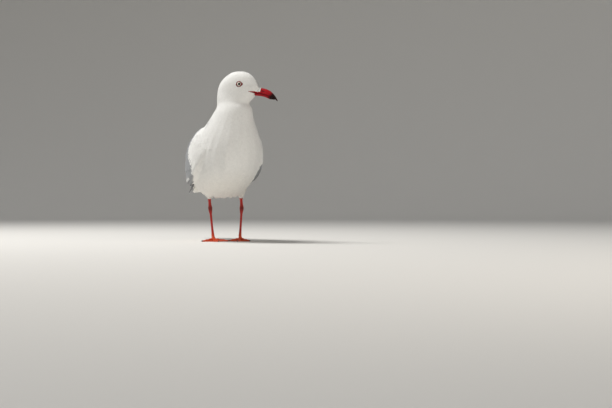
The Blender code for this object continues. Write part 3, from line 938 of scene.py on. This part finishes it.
def add_coats():
    front = MIDDLES[:, 1] < 0.5 * (MIDDLES[:, 2] - 120)
    white_trunk = ON_TRUNK & ~MANTLE
    face = (OWNER == HEAD) & open_eye(MIDDLES, 1.2, 0.7) & off_gape(MIDDLES)
    ahead, _, up = head_terms(FACE.points[FACE.triangles].mean(1))
    lore = (ahead > 21.0) & (ahead < 29.6 + 0.12 * up) & (up > -10.6)
    flank = is_wing(OWNER) & (behind_white(MIDDLES) < 0)
    # The tail's upper side has vanes behind its root, and the wings hang over its flanks.
    under = (FACES_OUT[:, 2] < -0.2) & (MIDDLES[:, 1] < 146)
    beside = (np.abs(MIDDLES[:, 0]) > 16.0) & (MIDDLES[:, 2] > 97.0)
    tail = (OWNER == TAIL) & ((MIDDLES[:, 1] < 128) | under) & ~beside
    thighs = (OWNER == THIGH_LEFT) | (OWNER == THIGH_RIGHT)
    add_coat("coat_head", 1, face, head_size, 7, 0.28, ruffle=0.01)
    add_coat("coat_lore", 8, lore, lore_size, 7, 0.17, lore_lift, ways=lore_lie, body=FACE)
    add_coat("coat_neck", 2, OWNER == NECK, neck_size, 11, 0.25, ruffle=0.02)
    add_coat("coat_breast", 3, white_trunk & front, body_size, 15, lift=side_lift)
    add_coat("coat_belly", 4, white_trunk & ~front, body_size, 15, lift=belly_lift, ruffle=0.10)
    add_coat("coat_flank", 7, flank, body_size, 15, lift=flank_lift, bent=True)
    add_coat("coat_tail", 5, tail, tail_size, 17, 0.2, tail_lift)
    add_coat("coat_thigh", 6, thighs, thigh_size, 11, 0.22, ways=thigh_lie, ruffle=0.12)


add_coats()


# Firm feathers


def add_vanes(name, seed, tracts, material, replaced=()):
    """Firm feathers from tracts. Each says what grow_feathers asks for, and how its feathers are coloured."""
    rng = np.random.default_rng(seed)
    points, smooth, triangles, colours, bake, vane = [], [], [], [], [], []
    total = 0
    for tract in tracts:
        paint = tract.pop("colours")
        p, n, s, t = grow_feathers(rng, **tract)
        tri = repeated(tract["shape"], len(s))
        local = np.stack([t * (tract["widths"] / 2)[:, None], s * tract["lengths"][:, None]], -1)
        vane.append(local.reshape(-1, 2)[tri.ravel()])
        bake.append(tuft_map(tract["path"][0][:, 1], s, t, tri))
        white = (1 - ramp(behind_white(p), -3.0, 1.0))[:, None]
        colours.append(blend(paint(s, t, rng).reshape(-1, 3), WHITE, white))
        points.append(p)
        smooth.append(n)
        triangles.append(tri + total)
        total += len(p)
    piece = make_mesh(name, np.vstack(points), np.vstack(triangles), material, np.vstack(smooth))
    set_tint(piece, np.clip(np.vstack(colours), 0, BRIGHTEST))
    set_map(piece, "OFBake", np.vstack(bake))
    set_map(piece, "vane", np.vstack(vane))
    if replaced:
        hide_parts(*replaced)


FRINGE = 0.06


def grey_tipped(base, tip=0.0):
    """Grey with a slightly paler fringe and, where tip is above 0, a white tip."""

    def colours(s, t, rng):
        tone = rng.normal(1.0, 0.025, (len(s), 1, 1))
        edge = FRINGE * (ramp(np.abs(t), 0.75, 1.0) + ramp(s, 0.86, 1.0))[..., None]
        shaft = 1 - 0.05 * (1 - ramp(np.abs(t), 0.0, 0.10))[..., None]
        grey = base[:, None] * tone * shaft + edge * WHITE
        white = ramp(s, 1 - tip, 1 - tip * 0.55)[..., None] if tip > 0 else 0.0
        return blend(grey, WHITE, white)

    return colours


COVERT = firm_vane(9, 7, 2.2, 0.5)
LONG_VANE = firm_vane(15, 9, 2.3, 0.4)


def wing_lie(places, normals):
    """Coverts point back and down: steeply at the wing's bend, and less so high on it and farther back."""
    y = places[:, 1]
    down = 0.45 + 0.9 * (1 - ramp(y, -40.0, 5.0)) - 0.30 * ramp(y, 20.0, 90.0)
    fall = down * (0.35 + 0.65 * ramp(wing_share(places), 0.0, 0.6))
    return tangent(np.stack([np.zeros_like(y), np.ones_like(y), -fall], 1), normals)


def covert_tract(rng, side, label):
    """Coverts over the front of the wing, growing longer backwards, and on over the mantle as scapulars."""

    def upper(places):
        return 1 - ramp(wing_share(places), 0.25, 0.55)

    def size(places):
        y = places[:, 1]
        return blend(6.0 + 6.0 * ramp(y, -45.0, 20.0), 8.5 + 11.0 * ramp(y, -30.0, 75.0), upper(places))

    outward = FACES_OUT[:, 0] * side * 0.8 + FACES_OUT[:, 2] > -0.2
    # They reach farther back the higher they are on the wing.
    share = wing_share(MIDDLES)
    reach = 22.0 + 40.0 * (1 - ramp(share, 0.52, 0.68)) + 72.0 * (1 - ramp(share, 0.2, 0.42))
    on_side = (OWNER == label) & outward & (MIDDLES[:, 1] < reach) & (behind_white(MIDDLES) > -3)
    wanted = on_side | MANTLE & ON_TRUNK & (MIDDLES[:, 0] * side > 0)
    spacing = 0.36
    roots, normals = HULL.lay(scatter(rng, HULL, wanted, lambda p: size(p) * spacing))
    ways = turned(wing_lie(roots, normals), normals, rng.normal(0, 4, len(roots)))
    lengths = size(roots) * rng.uniform(0.9, 1.1, len(roots))
    path = shafts(HULL, roots - ways * lengths[:, None] * 0.5, ways, lengths, stations=4, firm=0.75)
    grey = greyness(path[0][:, 2], path[2][:, 2], labels(path[0][:, 2]))[:, None]
    # Those in the middle lie over the roots of the tertials and the long scapulars.
    over_rows = 1.2 * ramp(roots[:, 1], 14.0, 34.0) * ramp(wing_share(roots), 0.28, 0.40)
    return dict(
        shape=COVERT, path=path, lengths=lengths, widths=lengths * 0.7, depth=lengths * 0.05,
        lift=0.08 + 0.4 * upper(roots) * ramp(roots[:, 1], -20.0, 30.0), camber=0.05,
        colours=grey_tipped(blend(WHITE, GREY, grey)), level=over_rows,
    )


def evenly(starts, ends, stations):
    """For each feather, values that run evenly from its start to its end."""
    return blend(starts[:, None], ends[:, None], np.linspace(0, 1, stations)[None])


def shaft_lengths(places):
    return np.linalg.norm(np.diff(places, axis=1), axis=2).sum(1)


def straight_shafts(table, y, share, side, level=0.0):
    """Shafts through these places of a wing's slices: places, directions and normals, and their lengths."""
    places = slice_place(table, y, share, side, level)
    ways = unit(np.gradient(places, axis=1))
    below, above = (slice_place(table, y, np.clip(share + step, 0, 1), side, level) for step in (0.02, -0.02))
    return (places, ways, unit(np.cross(ways, below - above) * -side)), shaft_lengths(places)


# How many places each long wing feather's shaft is made from
WING_STATIONS = 7
# Rows of long wing feathers: how many, then for roots and for tips the first one's distance back with its
# step and its share of the slice with its step, the width, the level over the wing with its step, the white
# tip's share of the feather, and the root's depth
WING_ROWS = (
    ("secondaries", 14, (-14.0, 7.3, 0.74, -0.004), (26.0, 7.5, 0.99, -0.003), 13.0, (0.15, 0.02), 0.09, 0.5),
    ("greater_coverts", 15, (-24.0, 6.9, 0.64, -0.014), (4.0, 7.4, 0.9, -0.012), 12.0, (0.45, 0.02), 0.0, 0.6),
    ("tertials", 6, (44.0, 5.0, 0.66, -0.07), (145.0, -8.0, 0.62, -0.055), 17.5, (0.55, 0.16), 0.06, 0.5),
    ("inner_tertials", 7, (30.0, 6.0, 0.16, -0.004), (76.0, 9.0, 0.20, 0.006), 13.0, (0.35, 0.04), 0.04, 0.4),
    ("long_scapulars", 9, (6.0, 6.0, 0.40, -0.030), (40.0, 8.2, 0.45, -0.040), 12.5, (0.95, 0.05), 0.05, 0.7),
)


def wing_tracts(seed, side, label):
    """The coverts of one wing and half the mantle, and the rows of long feathers, straight on the wing."""
    rng = np.random.default_rng(seed)
    tracts = [covert_tract(rng, side, label)]
    for name, count, root, end, width, level, tip, depth in WING_ROWS:
        n = np.arange(count)
        shift = rng.normal(0, 0.8, (2, count))
        y = evenly(root[0] + root[1] * n + shift[0], end[0] + end[1] * n + shift[1], WING_STATIONS)
        share = evenly(root[2] + root[3] * n, end[2] + end[3] * n, WING_STATIONS)
        path, lengths = straight_shafts(WING, y, share, side)
        # The last feathers of the uppermost rows lie flat towards the back's middle.
        free = 0.95 * ramp(n, count - 4.0, count - 1.0) * (name in ("inner_tertials", "long_scapulars"))
        base = np.tile(GREY * (0.94 if "tertials" in name else 1.0), (count, 1))
        tracts.append(dict(
            shape=LONG_VANE, path=path, lengths=lengths, widths=np.full(count, width), depth=depth, lift=0.1,
            camber=0.08, colours=grey_tipped(base, tip), level=level[0] + level[1] * n, free=free,
        ))
    return tracts


# The white tips are this long, and each primary's tip lies this far over the next longer one's.
PRIMARY_COUNT, PRIMARY_STATIONS, WHITE_TIP, PRIMARY_STEP = 7, 8, 3.2, 0.28
# How far back the roots and the longest primary's tip are, and how much shorter each next one is
PRIMARY_ROOTS, PRIMARY_END, PRIMARY_SHORTER = 104.0, 211.6, 8.8


def primary_tract(side):
    """Seven black primaries: the longest lies lowest, and each shorter one over it, with a white tip."""
    n = np.arange(PRIMARY_COUNT)
    roots, ends = np.full(PRIMARY_COUNT, PRIMARY_ROOTS), PRIMARY_END - PRIMARY_SHORTER * n
    y = evenly(roots, ends, PRIMARY_STATIONS)
    share = evenly(0.74 - 0.03 * n, 0.50 - 0.03 * n, PRIMARY_STATIONS)
    level = evenly(0.3 * PRIMARY_STEP * n, PRIMARY_STEP * n, PRIMARY_STATIONS) - 0.6
    path, lengths = straight_shafts(PRIMARIES, y, share, side, level)

    def colours(s, t, rng):
        tip_from = (1 - WHITE_TIP / lengths)[:, None] + 0.012 * t**2
        return blend(BLACK, WHITE, ramp(s, tip_from, tip_from + 0.006)[..., None])

    return dict(
        shape=firm_vane(26, 7, 2.0, 0.8), path=path, lengths=lengths, widths=15.0 - 0.2 * n, depth=0.3,
        lift=0.0, camber=0.10, colours=colours,
    )


for side, sign in SIDES.items():
    label, seed = (WING_LEFT, 20) if side == "left" else (WING_RIGHT, 21)
    add_vanes(f"wing_vanes_{side}", seed, wing_tracts(30, sign, label), VANE)
    add_vanes(f"flight_{side}", 22, [primary_tract(sign)], DARK_VANE, [f"primaries_{side}"])


# The tail in slices as in the solid: how far back, the middle's height and the half width
TAIL_ROWS = np.array([
    (74.0, 107.0, 26.0),
    (94.0, 101.5, 23.0),
    (112.0, 95.0, 20.0),
    (130.0, 88.7, 18.2),
    (148.0, 83.3, 17.2),
    (162.0, 79.6, 16.6),
    (174.0, 76.6, 14.5),
])
# The tail feathers: how many, how far back their roots are and their tips at most, how far each pair lies
# below the next one inwards, and how far inside the tail's edge the outermost shafts run
RECTRIX_COUNT, RECTRIX_ROOTS, RECTRIX_END, RECTRIX_STEP, RECTRIX_INSET = 12, 96.0, 173.6, 0.28, 5.5


def rectrix_tract():
    """Twelve tail feathers in a shallow fan. The middle pair lies on top, and the outer ones are shorter."""
    place = np.arange(RECTRIX_COUNT) - (RECTRIX_COUNT - 1) / 2
    order = np.abs(place)
    y = evenly(np.full(RECTRIX_COUNT, RECTRIX_ROOTS), RECTRIX_END - 0.22 * order**1.6, 6)
    height, half = (np.interp(y, TAIL_ROWS[:, 0], TAIL_ROWS[:, k]) for k in (1, 2))
    reach = place[:, None] / order.max() * (half - RECTRIX_INSET)
    places = np.stack([reach, y, height + 1.1 - RECTRIX_STEP * order[:, None] - 0.006 * reach**2], -1)
    ways = unit(np.gradient(places, axis=1))
    normals = tangent(unit(np.stack([reach * 0.012, 0 * y, 1 + 0 * y], -1)), ways)

    def colours(s, t, rng):
        tone = rng.normal(0.97, 0.012, (RECTRIX_COUNT, 1, 1))
        shaft = 1 - 0.08 * (1 - ramp(np.abs(t), 0.0, 0.12))[..., None]
        return blend(WHITE, CREAM, 0.4) * tone * shaft

    return dict(
        shape=firm_vane(16, 7, 2.6, 0.7), path=(places, ways, normals), lengths=shaft_lengths(places),
        widths=np.full(RECTRIX_COUNT, 12.5), depth=0.4, lift=0.0, camber=0.06, colours=colours,
    )


add_vanes("tail_vanes", 40, [rectrix_tract()], VANE)


# Eyes: the ball, its iris and pupil, and the bare red ring of the lids


def grid_triangles(rows, columns, closed):
    """Triangles for a grid of points, row after row. A closed grid joins each row's end to its start."""
    last = columns if closed else columns - 1
    i, j = np.meshgrid(np.arange(rows - 1), np.arange(last), indexing="ij")
    k = (j + 1) % columns
    a, b, c, d = i * columns + j, i * columns + k, (i + 1) * columns + k, (i + 1) * columns + j
    return np.vstack([np.stack([a, b, c], -1).reshape(-1, 3), np.stack([a, c, d], -1).reshape(-1, 3)])


def radial_at(ahead, above, angle):
    """Directions round a ring, which begins ahead and turns upwards."""
    return ahead * np.cos(angle)[:, None] + above * np.sin(angle)[:, None]


def outwards(points, triangles, middle):
    """The triangles, turned round if they face the middle."""
    a, b, c = (points[triangles[:, k]] for k in range(3))
    facing = (np.cross(b - a, c - a) * ((a + b + c) / 3 - middle)).sum()
    return triangles if facing > 0 else triangles[:, ::-1]


EYEBALL = pigment_material("eyeball", 0.10, 0.12, 900.0, 0.03, 2700.0, 0.0)
LID_SKIN = pigment_material("lid_skin", 0.5, 0.3, 900.0, 0.05, 2700.0, 0.05)
IRIS_WHITE = np.array([0.80, 0.78, 0.68])
IRIS_RIM = np.array([0.10, 0.015, 0.012])
LID_RED = np.array([0.20, 0.008, 0.013])
PUPIL_BLACK = 0.002
# The ball lies a little inside the solid eye.
BALL = EYE_RADIUS - 0.25
# How high the lids' crest stands, and how wide each corner is round the ring, in radians
LID_CREST, LID_CORNER = 0.42, 0.28


def add_eyeball(side, outward, above):
    """The ball, which looks a little ahead, with a streaked iris that is darker next to the pupil."""
    gaze = unit(outward + FORWARD * 0.12)
    rings, around = 40, 48
    polar = np.linspace(0.001, math.pi, rings)
    turn = np.arange(around) * 2 * math.pi / around
    radial = radial_at(tangent(FORWARD, gaze), above, turn)
    offsets = gaze * np.cos(polar)[:, None, None] + radial[None] * np.sin(polar)[:, None, None]
    points = (EYE[side] + offsets * BALL).reshape(-1, 3)
    away = np.repeat(np.sin(polar) * BALL + 100 * (polar > math.pi / 2), around)
    turn = np.tile(turn, rings)
    streak = 0.5 + 0.5 * np.sin(turn * 23 + 2.0 * np.sin(turn * 7))
    shade = (0.84 + 0.16 * streak) * (1 - 0.35 * (1 - ramp(np.abs(away - PUPIL - 0.1), 0.0, 0.5)))
    pupil = (1 - ramp(away, PUPIL - 0.12, PUPIL + 0.12))[:, None]
    rim = ramp(away, IRIS - 0.35, IRIS)[:, None]
    iris = IRIS_WHITE * shade[:, None] * (1 - pupil)
    triangles = outwards(points, grid_triangles(rings, around, True), EYE[side])
    eye = make_mesh(f"eyeball_{side}", points, triangles, EYEBALL)
    set_tint(eye, blend(iris, IRIS_RIM, rim) + pupil * PUPIL_BLACK)
    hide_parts(f"eye_{side}")


def add_lids(side, outward, ahead, above):
    """The bare ring: from under the lid's edge on the ball, over its crest and down into the plumage."""
    count, across = 72, 7
    angle = np.arange(count) * 2 * math.pi / count
    to_front, to_back = (np.angle(np.exp(1j * (angle - start))) for start in (0.0, math.pi))
    corner = bell(to_front, LID_CORNER) + 0.5 * bell(to_back, LID_CORNER)
    inner = RING_INNER * (1 + 0.07 * corner)
    outer = RING_HIGH + (RING_ACROSS - RING_HIGH) * np.cos(angle) ** 2 + 1.1 * corner
    share = np.linspace(0, 1, across)[:, None]
    reach = blend(inner, outer, share)
    on_ball = np.sqrt(np.maximum(BALL**2 - np.minimum(reach, BALL * 0.995) ** 2, 0))
    around = EYE[side] + radial_at(ahead, above, angle)[None] * reach[..., None]
    over_ball = math.sqrt(BALL**2 - RING_INNER**2) + 2
    laid, _ = HULL.lay((around + outward * over_ball).reshape(-1, 3))
    skin_height = ((laid - EYE[side]) @ outward).reshape(across, count)
    crest = LID_CREST * np.sin(np.pi * np.clip(share * 1.15, 0, 1)) * (1 + 0.12 * np.sin(angle * 22))
    level = blend(on_ball + 0.03, skin_height - 0.7, share**0.8) + crest
    points = (around + outward * level[..., None]).reshape(-1, 3)
    triangles = outwards(points, grid_triangles(across, count, True), EYE[side] - outward * 20)
    lid = make_mesh(f"lid_{side}", points, triangles, LID_SKIN)
    set_tint(lid, LID_RED * np.repeat(0.75 + 0.35 * np.sin(np.pi * share), count)[:, None])


for side, sign in SIDES.items():
    outward = unit(LEFTWARD * sign + FORWARD * 0.10 + UP * 0.02)
    ahead = tangent(FORWARD, outward)
    above = np.cross(ahead, outward) * np.sign(np.cross(ahead, outward)[2])
    add_eyeball(side, outward, above)
    add_lids(side, outward, ahead, above)


# Bill: horn with a ridge, a nostril slit, a hooked tip and a dark band, and the bare gape behind it

BILL_HORN = pigment_material("bill_horn", 0.38, 0.13, 500.0, 0.08, 1500.0, 0.02)
HORN_DARK = np.array([0.012, 0.005, 0.005])
# The line of the mouth ahead of the gape: how far ahead of the eyes, and its height
BILL_MOUTH = np.array([(30.5, -13.7), (39.4, -16.2), (45.4, -18.8), (51.0, -21.6), (55.6, -25.2)])
# The bill's relief, in millimetres, and how high the nostril is over the mouth. The edges along the mouth
# swell out so that no light shows between the mandibles.
EDGE_SWELL, RIDGE_HIGH, SLIT_DEEP, GROOVE_DEEP = 0.28, 0.12, 0.75, 0.22
NOSTRIL_HIGH = 4.3
# How far ahead of the eyes the red turns dusky at the mouth
DUSKY_FROM = 43.0


def bill_colours(ahead, above_mouth, ridge):
    """Deep red with painted shade along the mouth's line, darker along the ridge, and a dusky end that reaches
    farthest back at the mouth.
    """
    start = DUSKY_FROM + 0.7 * np.clip(above_mouth, 0, 9) - 0.3 * np.clip(-above_mouth, 0, 4)
    band = ramp(ahead, start - 3.5, start + 2.5) * (1 - 0.15 * ramp(ahead, 52.0, 55.0))
    # Painted shade along the crease of the mouth, where the mandibles meet, and a darker ridge
    dark = np.clip(bell(above_mouth, 0.7) * 0.85 + ridge * 0.35, 0, 1)
    return blend(blend(RED, DARK_RED, dark[:, None]), HORN_DARK, band[:, None] * 0.98)


def add_mandible(node, name):
    surface = fused([node], 0.36, 3, 0.0)
    ahead, side, up = head_terms(surface.points)
    behind, before = np.interp(ahead, GAPE[:, 0], GAPE[:, 2]), np.interp(ahead, *BILL_MOUTH.T)
    over = up - np.where(ahead > BILL_MOUTH[0, 0], before, behind)
    upper = 1.0 if node == "bill_upper" else 0.0
    flank = upper * (np.abs(side) > 1.2)
    slit = flank * bell(ahead - 33.2, 2.6, 4) * bell(over - NOSTRIL_HIGH, 0.55)
    groove = flank * bell(ahead - 32.0, 7.0, 4) * bell(over - NOSTRIL_HIGH, 1.2)
    ridge = upper * bell(side, 1.0) * ramp(over, 3.0, 5.0)
    move = EDGE_SWELL * bell(over, 0.6) + RIDGE_HIGH * ridge - SLIT_DEEP * slit - GROOVE_DEEP * groove
    bill = make_mesh(name, surface.points + surface.normals * move[:, None], surface.triangles, BILL_HORN)
    set_tint(bill, bill_colours(ahead, over, ridge) * (1 - 0.85 * slit)[:, None])
    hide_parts(node)


for node, name in (("bill_upper", "mandible_upper"), ("bill_lower", "mandible_lower")):
    add_mandible(node, name)


def add_gape(side, sign):
    """The bare red edge of the mouth, which runs back over the cheek from the bill to the gape's corner."""
    stations, rows = 30, 9
    ahead = np.linspace(GAPE[0, 0], GAPE[-1, 0], stations)
    low, line, high = (np.interp(ahead, GAPE[:, 0], GAPE[:, k]) for k in (1, 2, 3))
    share = np.linspace(0, 1, rows)[:, None]
    up = np.where(share < 0.5, low + (line - low) * share * 2, line + (high - line) * (share * 2 - 1))
    wide = 14.0 - 10.0 * ramp(ahead, 10.0, 31.0)
    laid, normals = HULL.lay(head_place(ahead, wide * sign, up).reshape(-1, 3))
    rim = np.abs(share * 2 - 1)
    swell = (1 - rim**2) * ramp(ahead, GAPE[0, 0], GAPE[0, 0] + 6.0)
    groove = bell(share - 0.5, 0.10) * ramp(ahead, GAPE[0, 0], GAPE[0, 0] + 3.0)
    height = -0.25 + 0.45 * np.sqrt(np.clip(1 - rim**4, 0, 1)) + 0.30 * swell - 0.28 * groove
    points = laid + normals * height.reshape(-1, 1)
    in_head = EYES_MIDDLE - FORWARD * 4 - UP * 8
    triangles = outwards(points, grid_triangles(rows, stations, False), in_head)
    gape = make_mesh(f"gape_{side}", points, triangles, LID_SKIN)
    # Painted shade darkens the groove along the mouth's line, and the half below the line is darker too.
    dark = np.clip(groove * 0.9 + 0.35 * (share < 0.5), 0, 1).reshape(-1, 1)
    set_tint(gape, blend(RED, DARK_RED * 0.6, dark))


for side, sign in SIDES.items():
    add_gape(side, sign)


# Legs and feet: one bare skin to each leg, with scutes down the front and over the toes, and the webs

LEG_SKIN = pigment_material("leg_skin", 0.46, 0.25, 700.0, 0.10, 2100.0, 0.05)
# The feet are a lighter, more orange red than the legs: partly their own colour, partly a painted highlight of
# the light on them.
LEG_RED = np.array([0.46, 0.026, 0.020])
FOOT_RED = np.array([0.66, 0.080, 0.022])
LEG_DARK = np.array([0.10, 0.014, 0.010])
# The middles of ankle and foot, as in the solids, and in degrees how far the middle toe points to the bird's
# left of ahead, and how far the outer toes spread from it
LEGS = {
    "left": {"ankle": (35.3, 40.0, 51.0), "foot": (29.6, 28.5, 7.0), "turn": -22.0, "spread": 33.0},
    "right": {"ankle": (-16.1, 37.5, 51.0), "foot": (-14.2, 26.0, 7.0), "turn": 0.0, "spread": 44.0},
}
SCUTE_LENGTH, RIDGE_LENGTH = 2.5, 1.9
# How high scutes and ridges stand, and grains and creases
PLATE_RELIEF, FINE_RELIEF = 0.13, 0.05


def seam(values, length):
    """For plates of this length one after another: 0 in the middle of each, and 1 where two of them meet."""
    return np.abs((values / length) % 1.0 - 0.5) * 2


def dark_seam(seams):
    return 1 - ramp(1 - seams, 0.0, 0.25)


def add_leg(side, sign):
    surface = fused([f"shank_{side}", f"tarsus_{side}", f"foot_{side}"], 0.42, 3)
    points, normals = surface.points, surface.normals
    leg = LEGS[side]
    ankle, foot = np.array(leg["ankle"]), np.array(leg["foot"])
    height, front = points[:, 2], -normals[:, 1]
    # One skin runs over the ankle, where the two bones' solids leave a notch at the heel.
    heel = bell(height - ankle[2] + 4.0, 6.0, 4)
    softer = np.stack([evened(points[:, axis], surface.triangles, 60) for axis in range(3)], 1)
    points = points + (softer - points + normals * 0.3) * heel[:, None]
    # Scutes down the shafts' fronts, and a net of small grains on their backs
    down = np.where(height > ankle[2], height, (points - ankle) @ unit(foot - ankle))
    on_shaft = ramp(height, 8.5, 11.0)
    between_scutes = seam(down, SCUTE_LENGTH)
    on_front = ramp(front, 0.0, 0.5) * on_shaft
    scutes = (1 - between_scutes**4) * on_front
    round_shaft = np.arctan2(normals[:, 0], front)
    net = np.sin(down * 4.2) * np.sin(round_shaft * 6 + np.floor(down * 0.75) * math.pi)
    grains = net * (1 - ramp(front, 0.0, 0.4)) * on_shaft
    # Ridges over the toes, and creases in the webs between them
    apart = points[:, :2] - np.array([foot[0], foot[1] - 2.0])
    reach = np.linalg.norm(apart, axis=1)
    heading = np.arctan2(apart[:, 0], -apart[:, 1])
    toes = np.radians([leg["turn"] + sign * place * leg["spread"] for place in (-1.0, 0.0, 1.0)])
    near = np.abs(np.sin(heading[:, None] - toes[None]) * reach[:, None]).min(1)
    on_toe = (1 - ramp(near, 1.2, 2.2)) * (1 - on_shaft) * ramp(normals[:, 2], 0.1, 0.5)
    between_ridges = seam(reach, RIDGE_LENGTH)
    ridges = (1 - between_ridges**4) * on_toe
    on_web = ramp(near, 2.0, 3.2) * (1 - on_shaft) * (apart[:, 1] < 2)
    creases = (np.sin(reach * 3.1 + 1.5 * np.sin(near * 1.3)) * 0.6 + np.sin(near * 3.7) * 0.4) * on_web
    move = PLATE_RELIEF * (scutes + ridges) + FINE_RELIEF * (grains + creases)
    points = points + normals * move[:, None]
    points[:, 2] = np.maximum(points[:, 2], 0.0)
    piece = make_mesh(f"leg_{side}", points, surface.triangles, LEG_SKIN)
    # The feet and the lowest part of the legs take the lighter foot red, which is partly a painted highlight.
    low = (1 - ramp(height, 6.0, 16.0))[:, None]
    joint = bell(height - ankle[2], 4.5) * ramp(front, -0.2, 0.7)
    seams = dark_seam(between_scutes) * on_front + dark_seam(between_ridges) * on_toe
    dark = np.clip(0.75 * joint + 0.30 * seams + 0.18 * on_web, 0, 1)[:, None]
    set_tint(piece, blend(blend(LEG_RED, FOOT_RED, low), LEG_DARK, dark))
    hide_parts(f"shank_{side}", f"tarsus_{side}", f"foot_{side}")


for side, sign in SIDES.items():
    add_leg(side, sign)


def claw_material():
    """Black horn, mottled a little brown."""
    material, shader = new_material("claw_horn", 0.32, 0.5)
    nodes = Nodes(material)
    mix = nodes.new("ShaderNodeMix", data_type="RGBA")
    nodes.link(nodes.spread(nodes.noise(1500.0), 0.0, 1.0), mix.inputs["Factor"])
    mix.inputs["A"].default_value = (0.012, 0.010, 0.010, 1.0)
    mix.inputs["B"].default_value = (0.045, 0.028, 0.020, 1.0)
    nodes.link(mix.outputs["Result"], shader.inputs["Base Color"])
    return material


CLAW_HORN = claw_material()
for name, node in NODES.items():
    if name.startswith("claw_"):
        node.data.materials.clear()
        node.data.materials.append(CLAW_HORN)


# The stage: a floor, which is a disc that bends up into a wall, and light. All of it is in metres.
FLOOR_RADIUS, FLOOR_BEND, WALL_HEIGHT = 2.6, 0.9, 1.6
FLOOR_SIDES, BEND_STEPS = 64, 12
# Each lamp: its place, its width and height, its power in watts and its colour
LAMPS = (
    ("key", (-0.85, 0.30, 1.80), (0.9, 0.9), 43.0, (1.0, 0.99, 0.97)),
    ("fill", (0.45, -1.3, 0.66), (1.2, 1.26), 5.0, (1.0, 0.93, 0.84)),
    ("front", (-1.0, -1.5, 0.8), (1.2, 1.2), 0.8, (0.98, 0.99, 1.0)),
)
LAMPS_AIM = Vector((0, 0, 0.14))


def add_floor():
    profile = [(0.5, 0.0), (1.5, 0.0), (FLOOR_RADIUS, 0.0)]
    for i in range(1, BEND_STEPS + 1):
        angle = math.pi / 2 * i / BEND_STEPS
        profile.append((FLOOR_RADIUS + FLOOR_BEND * math.sin(angle), FLOOR_BEND * (1 - math.cos(angle))))
    profile.append((FLOOR_RADIUS + FLOOR_BEND, FLOOR_BEND + WALL_HEIGHT))
    bm = bmesh.new()
    angles = [2 * math.pi * i / FLOOR_SIDES for i in range(FLOOR_SIDES)]
    rings = [[bm.verts.new((r * math.cos(a), r * math.sin(a), z)) for a in angles] for r, z in profile]
    middle = bm.verts.new((0, 0, 0))
    pairs = [(i, (i + 1) % FLOOR_SIDES) for i in range(FLOOR_SIDES)]
    for i, j in pairs:
        bm.faces.new((middle, rings[0][i], rings[0][j]))
    for low, high in zip(rings, rings[1:]):
        for i, j in pairs:
            bm.faces.new((low[i], high[i], high[j], low[j]))
    mesh = bpy.data.meshes.new("floor")
    bm.to_mesh(mesh)
    bm.free()
    mesh.shade_smooth()
    material, shader = new_material("floor", 0.9, 0.2)
    shader.inputs["Base Color"].default_value = (0.68, 0.665, 0.635, 1.0)
    mesh.materials.append(material)
    add_to_scene("floor", mesh)


def add_light():
    """Plain soft light: a pale sky and three round lamps."""
    world = bpy.data.worlds.new("world")
    world.use_nodes = True
    sky = world.node_tree.nodes["Background"].inputs
    sky["Color"].default_value = (0.90, 0.94, 1.0, 1.0)
    sky["Strength"].default_value = 0.25
    bpy.context.scene.world = world
    for name, place, size, power, colour in LAMPS:
        lamp = bpy.data.lights.new(name, "AREA")
        lamp.shape = "ELLIPSE"
        lamp.size, lamp.size_y = size
        lamp.energy, lamp.color = power, colour
        thing = add_to_scene(name, lamp)
        thing.location = place
        thing.rotation_euler = (LAMPS_AIM - Vector(place)).to_track_quat("-Z", "Y").to_euler()
    bpy.context.scene.view_settings.view_transform = "Standard"


add_floor()
add_light()
